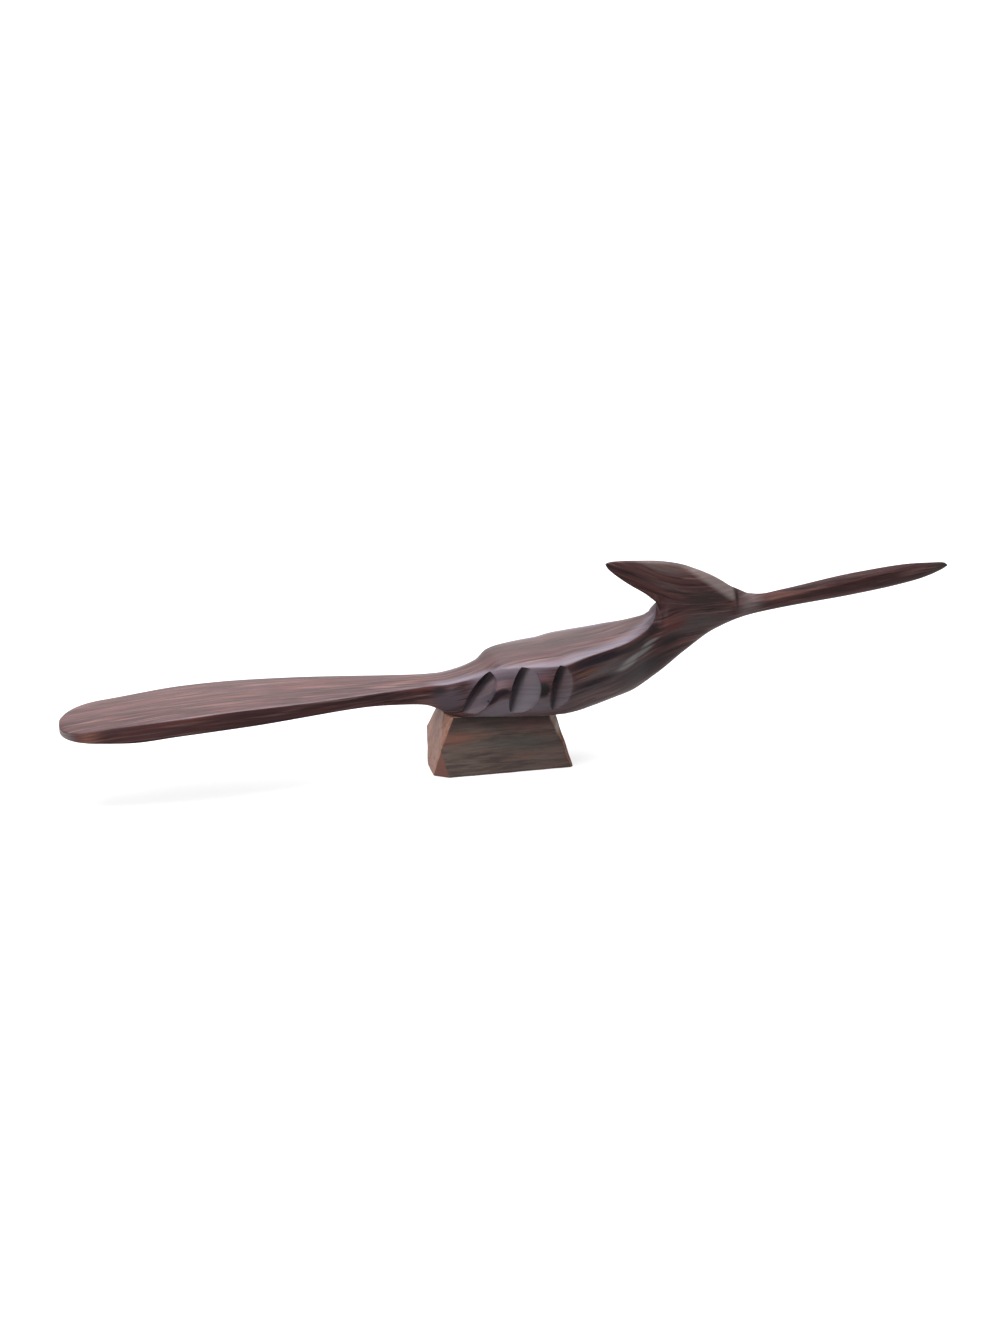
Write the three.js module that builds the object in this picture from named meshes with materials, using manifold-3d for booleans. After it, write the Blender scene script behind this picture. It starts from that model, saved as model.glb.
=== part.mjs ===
// Carved hardwood roadrunner on a hewn block. Sizes are in millimetres and +Z is up.
// The origin is the centre of the block's underside, and +X runs along the bird to its beak.
// The bird is one carving: a flat tail, a crisp-edged body, a round neck, a crested head and a beak.
import * as THREE from "three";
import { ConvexGeometry } from "three/addons/geometries/ConvexGeometry.js";
import { mergeVertices } from "three/addons/utils/BufferGeometryUtils.js";
import Module from "manifold-3d";

const wasm = await Module();
wasm.setup();

// Pedestal: a block that narrows upwards, with two hewn facets on each upright corner.
const PEDESTAL_LENGTH = 55;
const PEDESTAL_WIDTH = 35;
const PEDESTAL_HEIGHT = 22;
const PEDESTAL_TOP_LENGTH = 43;
const PEDESTAL_TOP_WIDTH = 24;
const FACET_MEETING_HEIGHT = 10.5;
const CORNER_FACETS = [
  { end: -1, side: -1, foot: [5.5, 4], top: [2.2, 8] },
  { end: -1, side: 1, foot: [4, 20], top: [2.2, 5] },
  { end: 1, side: -1, foot: [1.5, 2.5], top: [1.6, 4] },
  { end: 1, side: 1, foot: [1.5, 2.5], top: [1.6, 4] },
];

// Dowels: two pegs across the joint between belly and pedestal.
const DOWEL_DIAMETER = 6;
const DOWEL_LENGTH = 18;
const DOWEL_CHAMFER = 0.8;
const DOWEL_SPACING = 22;
const DOWEL_CLEARANCE = 0.3;

// Places along the bird, measured from a mark on its seat that lies ahead of the pedestal's centre.
const SEAT_MARK_AHEAD = 2;
const WAIST_BEHIND = 24;
const TAIL_LENGTH = 139;
const TAIL_END_ROUND = 14;
const WING_AHEAD = 19;
const NECK_AHEAD = 63.5;
const NAPE_RUN = 4;
const HEAD_LENGTH = 39.5;
const BEAK_LENGTH = 90;

// Widths of the bird across its flanks, which at tail, wing and breast are its widths across the arris.
// The arris is the edge between back and sides.
const TAIL_END_WIDTH = 38.4;
const TAIL_WIDTH = 42.8;
const TAIL_BLADE_WIDTH = 40.2;
const TAIL_TAPER_WIDTH = 35.2;
const TAIL_ROOT_WIDTH = 28;
const TAIL_NECK_WIDTH = 21.4;
const RUMP_WIDTH = 19.8;
const WAIST_WIDTH = 23.6;
const SHOULDER_WIDTH = 30.4;
const WING_REAR_WIDTH = 39.2;
const WING_WIDTH = 44.5;
const FLANK_WIDTH = 39;
const BREAST_WIDTH = 32.6;
const NAPE_WIDTH = 18.6;
const NECK_WIDTH = 16.4;
const NECK_RIDGE_WIDTH = 5;
const CHEEK_NECK_WIDTH = 13.8;
const THROAT_WIDTH = 10.2;
const BEAK_ROOT_WIDTH = 6.4;
const BEAK_WIDTH = 6.6;
const BEAK_TAPER_WIDTH = 4.6;

// Share of the flanks' width that is left at the arris where the back is narrower than the flanks.
const RIDGE_SHARE = {
  rump: 0.9,
  waist: 0.74,
  hip: 0.68,
  shoulder: 0.7,
  heel: 0.88,
  wingRear: 0.93,
  nape: 0.89,
  jaw: 0.8,
};
const HEAD_RIDGE_SHARE = { neck: 0.56, cheek: 0.66, throat: 0.88 };

// Heights of the arris above the seat.
const TAIL_END_RISE = 6.2;
const TAIL_SQUARE_RISE = 8.9;
const TAIL_RISE = 10.4;
const TAIL_BLADE_RISE = 11.6;
const WAIST_RISE = 12.4;
const HIP_RISE = 13.6;
const SHOULDER_RISE = 15.9;
const HEEL_RISE = 18.8;
const WING_REAR_RISE = 19.7;
const WING_RISE = 20.6;
const WING_FRONT_RISE = 22.4;
const BREAST_RISE = 26.2;
const NAPE_RISE = 30.5;
const NECK_RISE = 37.4;
const JAW_RISE = 35.9;
const THROAT_RISE = 34.5;
const BEAK_ROOT_RISE = 34.9;
const BEAK_RISE = 41.3;
const BEAK_TIP_RISE = 46.4;

// Wood below the arris, height of the keel above the seat, and the crown of the back over the arris.
const TAIL_END_DEPTH = 2;
const TAIL_DEPTH = 6.7;
const TAIL_ROOT_DEPTH = 5.1;
const TAIL_NECK_DEPTH = 6.6;
const RUMP_DEPTH = 8;
const WAIST_DEPTH = 11;
const SEAT_PLANED_OFF = 4;
const BELLY_FRONT_PLANED_OFF = 1.2;
const BREAST_KEEL = 1.2;
const BREAST_FRONT_KEEL = 2.6;
const NECK_KEEL = 8.4;
const GULLET_KEEL = 17.2;
const THROAT_KEEL = 25.2;
const BEAK_ROOT_DEPTH = 4.5;
const BEAK_NECK_DEPTH = 4;
const BEAK_DEPTH = 4.6;
const BEAK_TAPER_DEPTH = 3.6;
const BEAK_TIP_DEPTH = 0.7;
const TAIL_CROWN = 0.7;
const WING_CROWN = 2.2;
const NAPE_CROWN = 0.8;

// Head: a thin crest swept back over the neck, cheeks, and a bevelled forehead that ends in a step.
const CREST_REACH = 21.1;
const CREST_TOP_SHARE = 0.67;
const CREST_TIP_ROUND = 2.5;
const CREST_TIP_RISE = 53.2;
const CREST_TIP_HEIGHT = 1;
const CREST_END_RISE = 54.8;
const CREST_END_HEIGHT = 4.9;
const CREST_TOP_RISE = 55;
const CREST_ROOT_RISE = 37.2;
const CREST_TIP_WIDTH = 1.4;
const CREST_ROOT_WIDTH = 11.6;
const CREST_BEVEL = 0.6;
const HEAD_WIDTH = 14.6;
const CROWN_RISE = 52.4;
const CROWN_BEVEL = 2.6;
const BROW_RISE = 49.3;
const FOREHEAD_WIDTH = 12.2;
const FOREHEAD_RISE = 46.9;
const FOREHEAD_BEVEL = 5;
const FOREHEAD_END_BEVEL = 3;
const FOREHEAD_STEP = 0.9;
const CHEEK_TO_KEEL = 2;

// Wing feathers: on each side, stop cuts with a chip sliced out ahead of each, the rearmost leaning most.
// The splay leans a cut away from the bird's middle as it rises.
const GOUGE_SPACING = 14.8;
const GOUGE_SETBACK = 2.4;
const GOUGE_LEVEL = 0.58;
const GOUGE_SLOPE = 0.49;
const GOUGE_CLEAR = 4;
const GOUGES = [
  { leanDegrees: 30, splay: -0.25, length: 18, width: 6.5 },
  { leanDegrees: 9, splay: 0.08, length: 19.6, width: 9 },
  { leanDegrees: 2, splay: 0.1, length: 19.6, width: 7.8 },
];

// Roundness of the sections. An arris power of 2 is crisp and 1 is round.
// A squareness of 2 is an ellipse, and a higher flare keeps the narrowing closer to the arris.
const BACK_ARRIS = 2;
const HEAD_ARRIS = 1.5;
const BEAK_ARRIS = 1;
const TAIL_SQUARENESS = 18;
const TAIL_NECK_SQUARENESS = 9;
const WAIST_SQUARENESS = 5;
const WING_SQUARENESS = 3.4;
const NECK_SQUARENESS = 2.4;
const CREST_SQUARENESS = 2.2;
const CHEEK_SQUARENESS = 3.4;
const WAIST_FLARE = 1.7;
const WING_FLARE = 3;
const NECK_FLARE = 9;
const HEAD_FLARE = 3;
const TAIL_END_POWER = 2.4;
const TIP_SHARE = 0.15;

// Fineness of the faceted solids.
const BACK_STEPS = 8;
const BELLY_STEPS = 18;
const BELLY_CROWDING = 1.35;
const RING_STEP = 2;
const TAIL_END_RINGS = 8;
const GOUGE_STEPS = 20;
const PEG_SIDES = 32;
const WELD = 1e-4;

// Stations along the bird, worked out from its lengths and from shares of them.
const ALONG_TAIL = {
  rump: 0.05,
  neck: 0.115,
  root: 0.23,
  taper: 0.37,
  blade: 0.532,
  broad: 0.7,
  square: 0.82,
};
const ALONG_WING = { seat: 0.058, hip: 0.186, bellyRear: 0.228, shoulder: 0.372, heel: 0.512, rear: 0.651 };
const ALONG_BREAST = { bellyMiddle: 0.022, wingFront: 0.157, flank: 0.357, breast: 0.609, front: 0.764 };
const ALONG_HEAD = { cheek: 0.281, gullet: 0.319, brow: 0.494, throat: 0.625, front: 0.92 };
const ALONG_BEAK = { neck: 0.16, broad: 0.54, taper: 0.84, end: 0.972 };
const WAIST = -WAIST_BEHIND;
const TAIL_END = WAIST - TAIL_LENGTH;
const TAIL_SQUARE = WAIST - ALONG_TAIL.square * TAIL_LENGTH;
const TAIL_BROAD = WAIST - ALONG_TAIL.broad * TAIL_LENGTH;
const TAIL_BLADE = WAIST - ALONG_TAIL.blade * TAIL_LENGTH;
const TAIL_TAPER = WAIST - ALONG_TAIL.taper * TAIL_LENGTH;
const TAIL_ROOT = WAIST - ALONG_TAIL.root * TAIL_LENGTH;
const TAIL_NECK = WAIST - ALONG_TAIL.neck * TAIL_LENGTH;
const RUMP = WAIST - ALONG_TAIL.rump * TAIL_LENGTH;
const SEAT_REAR = WAIST + ALONG_WING.seat * (WING_AHEAD - WAIST);
const HIP = WAIST + ALONG_WING.hip * (WING_AHEAD - WAIST);
const BELLY_REAR = WAIST + ALONG_WING.bellyRear * (WING_AHEAD - WAIST);
const SHOULDER = WAIST + ALONG_WING.shoulder * (WING_AHEAD - WAIST);
const HEEL = WAIST + ALONG_WING.heel * (WING_AHEAD - WAIST);
const WING_REAR = WAIST + ALONG_WING.rear * (WING_AHEAD - WAIST);
const BELLY_MIDDLE = WING_AHEAD + ALONG_BREAST.bellyMiddle * (NECK_AHEAD - WING_AHEAD);
const WING_FRONT = WING_AHEAD + ALONG_BREAST.wingFront * (NECK_AHEAD - WING_AHEAD);
const FLANK = WING_AHEAD + ALONG_BREAST.flank * (NECK_AHEAD - WING_AHEAD);
const BREAST = WING_AHEAD + ALONG_BREAST.breast * (NECK_AHEAD - WING_AHEAD);
const BREAST_FRONT = WING_AHEAD + ALONG_BREAST.front * (NECK_AHEAD - WING_AHEAD);
const NAPE = NECK_AHEAD - NAPE_RUN;
const CREST_TIP = NECK_AHEAD - CREST_REACH;
const CREST_END = CREST_TIP + CREST_TIP_ROUND;
const CREST_TOP = NECK_AHEAD - CREST_TOP_SHARE * CREST_REACH;
const CHEEK = NECK_AHEAD + ALONG_HEAD.cheek * HEAD_LENGTH;
const GULLET = NECK_AHEAD + ALONG_HEAD.gullet * HEAD_LENGTH;
const BROW = NECK_AHEAD + ALONG_HEAD.brow * HEAD_LENGTH;
const THROAT = NECK_AHEAD + ALONG_HEAD.throat * HEAD_LENGTH;
const HEAD_FRONT = NECK_AHEAD + ALONG_HEAD.front * HEAD_LENGTH;
const BEAK_ROOT = NECK_AHEAD + HEAD_LENGTH;
const BEAK_NECK = BEAK_ROOT + ALONG_BEAK.neck * BEAK_LENGTH;
const BEAK_BROAD = BEAK_ROOT + ALONG_BEAK.broad * BEAK_LENGTH;
const BEAK_TAPER = BEAK_ROOT + ALONG_BEAK.taper * BEAK_LENGTH;
const BEAK_END = BEAK_ROOT + ALONG_BEAK.end * BEAK_LENGTH;
const BEAK_TIP = BEAK_ROOT + BEAK_LENGTH;

// A smooth line through [place, value] points that never overshoots them.
function fairLine(points) {
  const grade = (i) => (points[i + 1][1] - points[i][1]) / (points[i + 1][0] - points[i][0]);
  const slopes = points.map((_, i) => {
    if (i === 0) return grade(0);
    if (i === points.length - 1) return grade(i - 1);
    const before = grade(i - 1);
    const after = grade(i);
    return before * after <= 0 ? 0 : (2 * before * after) / (before + after);
  });
  return (x) => {
    const last = points.length - 1;
    if (x <= points[0][0]) return points[0][1];
    if (x >= points[last][0]) return points[last][1];
    const i = points.findIndex((point) => point[0] > x) - 1;
    const span = points[i + 1][0] - points[i][0];
    const t = (x - points[i][0]) / span;
    const ease = t * t * (3 - 2 * t);
    const bend = span * t * (1 - t) * ((1 - t) * slopes[i] - t * slopes[i + 1]);
    return points[i][1] * (1 - ease) + points[i + 1][1] * ease + bend;
  };
}

// One ring of the carving: a crown over the arris and a superellipse below it.
// The ridge share narrows the ring at its arris, and the flanks below flare out to the full half width.
// The points below the arris crowd towards it.
function ring({ x, halfWidth, ridgeShare, flare, arris, crown, depth, arrisPower, squareness }) {
  const points = [];
  for (let k = 0; k < BACK_STEPS; k += 1) {
    const angle = (Math.PI * k) / BACK_STEPS;
    const rise = crown * Math.sin(angle) ** arrisPower;
    points.push(new THREE.Vector3(x, halfWidth * ridgeShare * Math.cos(angle), arris + rise));
  }
  for (let k = 0; k < BELLY_STEPS; k += 1) {
    const fromKeel = (2 * k) / BELLY_STEPS - 1;
    const crowded = Math.sign(fromKeel) * (1 - (1 - Math.abs(fromKeel)) ** BELLY_CROWDING);
    const angle = (Math.PI / 2) * (1 + crowded);
    const across = -Math.cos(angle);
    const down = Math.sin(angle) ** (2 / squareness);
    const pinch = 1 - (1 - ridgeShare) * (1 - down) ** flare;
    const flank = halfWidth * pinch * Math.abs(across) ** (2 / squareness);
    points.push(new THREE.Vector3(x, Math.sign(across) * flank, arris - depth * down));
  }
  return points;
}

// A closed skin over rings that follow each other along +X.
function loft(rings) {
  const around = rings[0].length;
  const middle = (points) => new THREE.Vector3()
    .addVectors(points[BACK_STEPS / 2], points[BACK_STEPS + BELLY_STEPS / 2])
    .multiplyScalar(0.5);
  const vertices = [...rings.flat(), middle(rings[0]), middle(rings[rings.length - 1])];
  const index = [];
  for (let i = 0; i + 1 < rings.length; i += 1) {
    for (let j = 0; j < around; j += 1) {
      const here = i * around + j;
      const beside = i * around + ((j + 1) % around);
      index.push(here, beside, here + around, beside, beside + around, here + around);
    }
  }
  const start = rings.length * around;
  const lastRing = start - around;
  for (let j = 0; j < around; j += 1) {
    const next = (j + 1) % around;
    index.push(start, next, j, start + 1, lastRing + j, lastRing + next);
  }
  return new THREE.BufferGeometry().setFromPoints(vertices).setIndex(index);
}

// Evenly spaced places from one end to the other, both included.
function places(from, to, step) {
  const count = Math.max(2, Math.round((to - from) / step));
  return Array.from({ length: count + 1 }, (_, i) => from + ((to - from) * i) / count);
}

// A closed geometry as a solid for cutting and joining, and a cut solid as a geometry again.
function solid(geometry) {
  const bare = geometry.clone();
  bare.deleteAttribute("normal");
  bare.deleteAttribute("uv");
  const merged = mergeVertices(bare, WELD);
  return new wasm.Manifold(new wasm.Mesh({
    numProp: 3,
    vertProperties: new Float32Array(merged.attributes.position.array),
    triVerts: new Uint32Array(merged.index.array),
  }));
}

function geometryOf(cutSolid) {
  const { vertProperties, triVerts } = cutSolid.getMesh();
  const geometry = new THREE.BufferGeometry();
  geometry.setAttribute("position", new THREE.BufferAttribute(vertProperties, 3));
  geometry.setIndex(new THREE.BufferAttribute(triVerts, 1));
  geometry.computeVertexNormals();
  return geometry;
}

// Lines of the body: half width and arris height along the bird.
const bodyHalfWidth = fairLine([
  [TAIL_END, TAIL_END_WIDTH / 2],
  [TAIL_END + TAIL_END_ROUND, TAIL_END_WIDTH / 2],
  [TAIL_BROAD, TAIL_WIDTH / 2],
  [TAIL_BLADE, TAIL_BLADE_WIDTH / 2],
  [TAIL_TAPER, TAIL_TAPER_WIDTH / 2],
  [TAIL_ROOT, TAIL_ROOT_WIDTH / 2],
  [TAIL_NECK, TAIL_NECK_WIDTH / 2],
  [RUMP, RUMP_WIDTH / 2],
  [WAIST, WAIST_WIDTH / 2],
  [SHOULDER, SHOULDER_WIDTH / 2],
  [WING_REAR, WING_REAR_WIDTH / 2],
  [WING_AHEAD, WING_WIDTH / 2],
  [FLANK, FLANK_WIDTH / 2],
  [BREAST, BREAST_WIDTH / 2],
  [NAPE, NAPE_WIDTH / 2],
  [NECK_AHEAD, NECK_WIDTH / 2],
  [CHEEK, CHEEK_NECK_WIDTH / 2],
  [THROAT, THROAT_WIDTH / 2],
  [BEAK_ROOT, BEAK_ROOT_WIDTH / 2],
  [BEAK_BROAD, BEAK_WIDTH / 2],
  [BEAK_TAPER, BEAK_TAPER_WIDTH / 2],
  [BEAK_TIP, (BEAK_WIDTH / 2) * TIP_SHARE],
]);
const arrisRise = fairLine([
  [TAIL_END, TAIL_END_RISE],
  [TAIL_SQUARE, TAIL_SQUARE_RISE],
  [TAIL_BROAD, TAIL_RISE],
  [TAIL_BLADE, TAIL_BLADE_RISE],
  [WAIST, WAIST_RISE],
  [HIP, HIP_RISE],
  [SHOULDER, SHOULDER_RISE],
  [HEEL, HEEL_RISE],
  [WING_REAR, WING_REAR_RISE],
  [WING_AHEAD, WING_RISE],
  [WING_FRONT, WING_FRONT_RISE],
  [BREAST, BREAST_RISE],
  [NAPE, NAPE_RISE],
  [NECK_AHEAD, NECK_RISE],
  [CHEEK, JAW_RISE],
  [THROAT, THROAT_RISE],
  [BEAK_ROOT, BEAK_ROOT_RISE],
  [BEAK_BROAD, BEAK_RISE],
  [BEAK_TIP, BEAK_TIP_RISE],
]);
const keelRise = fairLine([
  [TAIL_END, arrisRise(TAIL_END) - TAIL_END_DEPTH],
  [TAIL_SQUARE, arrisRise(TAIL_SQUARE) - TAIL_DEPTH],
  [TAIL_BROAD, arrisRise(TAIL_BROAD) - TAIL_DEPTH],
  [TAIL_BLADE, arrisRise(TAIL_BLADE) - TAIL_DEPTH],
  [TAIL_ROOT, arrisRise(TAIL_ROOT) - TAIL_ROOT_DEPTH],
  [TAIL_NECK, arrisRise(TAIL_NECK) - TAIL_NECK_DEPTH],
  [RUMP, arrisRise(RUMP) - RUMP_DEPTH],
  [WAIST, arrisRise(WAIST) - WAIST_DEPTH],
  [SEAT_REAR, 0],
  [BELLY_REAR, -SEAT_PLANED_OFF],
  [BELLY_MIDDLE, -SEAT_PLANED_OFF],
  [FLANK, -BELLY_FRONT_PLANED_OFF],
  [BREAST, BREAST_KEEL],
  [BREAST_FRONT, BREAST_FRONT_KEEL],
  [NECK_AHEAD, NECK_KEEL],
  [GULLET, GULLET_KEEL],
  [THROAT, THROAT_KEEL],
  [BEAK_ROOT, arrisRise(BEAK_ROOT) - BEAK_ROOT_DEPTH],
  [BEAK_NECK, arrisRise(BEAK_NECK) - BEAK_NECK_DEPTH],
  [BEAK_BROAD, arrisRise(BEAK_BROAD) - BEAK_DEPTH],
  [BEAK_TAPER, arrisRise(BEAK_TAPER) - BEAK_TAPER_DEPTH],
  [BEAK_END, arrisRise(BEAK_END) - BEAK_TIP_DEPTH * 2],
  [BEAK_TIP, arrisRise(BEAK_TIP) - BEAK_TIP_DEPTH],
]);
const backCrown = fairLine([
  [TAIL_END, TAIL_CROWN],
  [WAIST, TAIL_CROWN],
  [WING_AHEAD, WING_CROWN],
  [NAPE, NAPE_CROWN],
  [CHEEK, NAPE_CROWN],
  [BEAK_ROOT, BEAK_ROOT_DEPTH],
  [BEAK_NECK, BEAK_NECK_DEPTH],
  [BEAK_BROAD, BEAK_DEPTH],
  [BEAK_TAPER, BEAK_TAPER_DEPTH],
  [BEAK_END, BEAK_TIP_DEPTH * 2],
  [BEAK_TIP, BEAK_TIP_DEPTH],
]);
const ridgeShare = fairLine([
  [TAIL_NECK, 1],
  [RUMP, RIDGE_SHARE.rump],
  [WAIST, RIDGE_SHARE.waist],
  [HIP, RIDGE_SHARE.hip],
  [SHOULDER, RIDGE_SHARE.shoulder],
  [HEEL, RIDGE_SHARE.heel],
  [WING_REAR, RIDGE_SHARE.wingRear],
  [WING_AHEAD, 1],
  [BREAST, 1],
  [NAPE, RIDGE_SHARE.nape],
  [NECK_AHEAD, NECK_RIDGE_WIDTH / NECK_WIDTH],
  [NECK_AHEAD + NAPE_RUN, RIDGE_SHARE.jaw],
  [CHEEK, 1],
]);
const flankFlare = fairLine([[WAIST, WAIST_FLARE], [WING_AHEAD, WING_FLARE], [NAPE, NECK_FLARE]]);
const arrisPower = fairLine([[NECK_AHEAD, BACK_ARRIS], [BEAK_ROOT, BEAK_ARRIS]]);
const undersideSquareness = fairLine([
  [TAIL_ROOT, TAIL_SQUARENESS],
  [TAIL_NECK, TAIL_NECK_SQUARENESS],
  [WAIST, WAIST_SQUARENESS],
  [WING_AHEAD, WING_SQUARENESS],
  [NECK_AHEAD, NECK_SQUARENESS],
]);

// The rounded end of the tail seen from above, as a share of its full width.
function tailEndShare(x) {
  const intoRound = (TAIL_END + TAIL_END_ROUND - x) / TAIL_END_ROUND;
  return intoRound <= 0 ? 1 : (1 - intoRound ** TAIL_END_POWER) ** (1 / TAIL_END_POWER);
}

function bodyRings() {
  const roundEnd = Array.from({ length: TAIL_END_RINGS }, (_, i) => ((i + 1) / (TAIL_END_RINGS + 1)) ** 2);
  const stations = [
    ...roundEnd.map((share) => TAIL_END + share * TAIL_END_ROUND),
    ...places(TAIL_END + TAIL_END_ROUND, TAIL_ROOT, 4 * RING_STEP).slice(0, -1),
    ...places(TAIL_ROOT, NAPE, RING_STEP).slice(0, -1),
    ...places(NAPE, CHEEK, RING_STEP / 3).slice(0, -1),
    ...places(CHEEK, BEAK_ROOT, RING_STEP).slice(0, -1),
    ...places(BEAK_ROOT, BEAK_TIP, 3 * RING_STEP),
  ];
  return stations.map((x) => ring({
    x,
    halfWidth: bodyHalfWidth(x) * tailEndShare(x),
    ridgeShare: ridgeShare(x),
    flare: flankFlare(x),
    arris: arrisRise(x),
    crown: backCrown(x),
    depth: arrisRise(x) - keelRise(x),
    arrisPower: arrisPower(x),
    squareness: undersideSquareness(x),
  }));
}

// Head and crest, from the crest's tip behind the neck to the step at the root of the beak.
function headRings() {
  const cheekFoot = (x) => keelRise(x) + CHEEK_TO_KEEL;
  const top = fairLine([
    [CREST_TIP, CREST_TIP_RISE],
    [CREST_END, CREST_END_RISE],
    [CREST_TOP, CREST_TOP_RISE],
    [CHEEK, CROWN_RISE],
    [BROW, BROW_RISE],
    [THROAT, FOREHEAD_RISE],
    [HEAD_FRONT, arrisRise(HEAD_FRONT) + backCrown(HEAD_FRONT) + FOREHEAD_STEP],
  ]);
  const bevel = fairLine([
    [CREST_TIP, CREST_TIP_WIDTH / 4],
    [NECK_AHEAD, CREST_BEVEL],
    [CHEEK, CROWN_BEVEL],
    [THROAT, FOREHEAD_BEVEL],
    [HEAD_FRONT, FOREHEAD_END_BEVEL],
  ]);
  const halfWidth = fairLine([
    [CREST_TIP, CREST_TIP_WIDTH / 2],
    [NECK_AHEAD, CREST_ROOT_WIDTH / 2],
    [CHEEK, HEAD_WIDTH / 2],
    [THROAT, FOREHEAD_WIDTH / 2],
    [HEAD_FRONT, bodyHalfWidth(HEAD_FRONT) + FOREHEAD_STEP],
  ]);
  const browShare = fairLine([
    [NECK_AHEAD, HEAD_RIDGE_SHARE.neck],
    [CHEEK, HEAD_RIDGE_SHARE.cheek],
    [THROAT, HEAD_RIDGE_SHARE.throat],
    [HEAD_FRONT, 1],
  ]);
  const underside = fairLine([
    [CREST_TIP, CREST_TIP_RISE - CREST_TIP_HEIGHT],
    [CREST_END, CREST_END_RISE - CREST_END_HEIGHT],
    [NECK_AHEAD, CREST_ROOT_RISE],
    [CHEEK, cheekFoot(CHEEK)],
    [THROAT, cheekFoot(THROAT)],
    [HEAD_FRONT, cheekFoot(HEAD_FRONT)],
  ]);
  const squareness = fairLine([[NECK_AHEAD, CREST_SQUARENESS], [CHEEK, CHEEK_SQUARENESS]]);
  const stations = [
    ...places(CREST_TIP, CREST_END, RING_STEP / 4).slice(0, -1),
    ...places(CREST_END, HEAD_FRONT, RING_STEP),
  ];
  return stations.map((x) => ring({
    x,
    halfWidth: halfWidth(x),
    ridgeShare: browShare(x),
    flare: HEAD_FLARE,
    arris: top(x) - bevel(x),
    crown: bevel(x),
    depth: top(x) - bevel(x) - underside(x),
    arrisPower: HEAD_ARRIS,
    squareness: squareness(x),
  }));
}

// Half width of the uncut flank at a height above the seat.
function flankHalfWidth(x, z) {
  const down = (arrisRise(x) - z) / (arrisRise(x) - keelRise(x));
  const pinch = 1 - (1 - ridgeShare(x)) * (1 - down) ** flankFlare(x);
  return bodyHalfWidth(x) * pinch * (1 - down ** undersideSquareness(x)) ** (1 / undersideSquareness(x));
}

// The cutter for one feather on one side: from the side a D, straight along its stop cut and bowed ahead.
// Its floor falls evenly from the bow to the stop cut.
function gouge(x, side, { leanDegrees, splay, length, width }) {
  const corners = [];
  for (let k = 0; k <= GOUGE_STEPS; k += 1) {
    const angle = (Math.PI * k) / GOUGE_STEPS;
    const reach = width * Math.sin(angle);
    const up = (-length / 2) * Math.cos(angle);
    const clear = side * (splay * up + GOUGE_CLEAR);
    corners.push(new THREE.Vector3(reach, side * splay * up, up));
    corners.push(new THREE.Vector3(0, side * (splay * up - GOUGE_SLOPE * reach), up));
    corners.push(new THREE.Vector3(reach, clear, up));
    corners.push(new THREE.Vector3(0, clear, up));
  }
  const level = GOUGE_LEVEL * arrisRise(x);
  const placed = new THREE.Matrix4().makeRotationY(THREE.MathUtils.degToRad(leanDegrees));
  placed.setPosition(x, side * flankHalfWidth(x, level), level);
  return solid(new ConvexGeometry(corners).applyMatrix4(placed));
}

function birdCarving() {
  let bird = solid(loft(bodyRings())).add(solid(loft(headRings())));
  GOUGES.forEach((cut, i) => {
    const fromFront = GOUGES.length - 1 - i;
    const x = WING_AHEAD - GOUGE_SETBACK - fromFront * GOUGE_SPACING;
    bird = bird.subtract(gouge(x, 1, cut)).subtract(gouge(x, -1, cut));
  });
  const plane = new THREE.BoxGeometry(PEDESTAL_LENGTH * 2, WING_WIDTH * 2, PEDESTAL_HEIGHT);
  plane.translate(0, 0, -PEDESTAL_HEIGHT / 2);
  bird = bird.subtract(solid(plane));
  for (const x of dowelPlaces()) {
    bird = bird.subtract(solid(peg(DOWEL_CLEARANCE).translate(x - SEAT_MARK_AHEAD, 0, 0)));
  }
  return geometryOf(bird);
}

// A peg centred on the joint, or with clearance the hole that takes it.
function peg(clearance) {
  const radius = DOWEL_DIAMETER / 2 + clearance;
  const half = DOWEL_LENGTH / 2 + clearance;
  const profile = [
    new THREE.Vector2(0, -half),
    new THREE.Vector2(radius - DOWEL_CHAMFER, -half),
    new THREE.Vector2(radius, -half + DOWEL_CHAMFER),
    new THREE.Vector2(radius, half - DOWEL_CHAMFER),
    new THREE.Vector2(radius - DOWEL_CHAMFER, half),
    new THREE.Vector2(0, half),
  ];
  return new THREE.LatheGeometry(profile, PEG_SIDES).rotateX(Math.PI / 2);
}

function dowelPlaces() {
  return [-DOWEL_SPACING / 2, DOWEL_SPACING / 2];
}

// Each upright corner keeps one point of its edge, where its upper and lower facets meet.
function pedestalBlock() {
  const corners = [];
  for (const { end, side, foot, top } of CORNER_FACETS) {
    const at = (z, alongCut, acrossCut) => {
      const share = z / PEDESTAL_HEIGHT;
      const length = THREE.MathUtils.lerp(PEDESTAL_LENGTH, PEDESTAL_TOP_LENGTH, share);
      const width = THREE.MathUtils.lerp(PEDESTAL_WIDTH, PEDESTAL_TOP_WIDTH, share);
      corners.push(new THREE.Vector3(end * (length / 2 - alongCut), side * (width / 2 - acrossCut), z));
    };
    at(0, foot[0], 0);
    at(0, 0, foot[1]);
    at(FACET_MEETING_HEIGHT, 0, 0);
    at(PEDESTAL_HEIGHT, top[0], 0);
    at(PEDESTAL_HEIGHT, 0, top[1]);
  }
  let block = solid(new ConvexGeometry(corners));
  for (const x of dowelPlaces()) {
    block = block.subtract(solid(peg(DOWEL_CLEARANCE).translate(x, 0, PEDESTAL_HEIGHT)));
  }
  return geometryOf(block);
}

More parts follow.
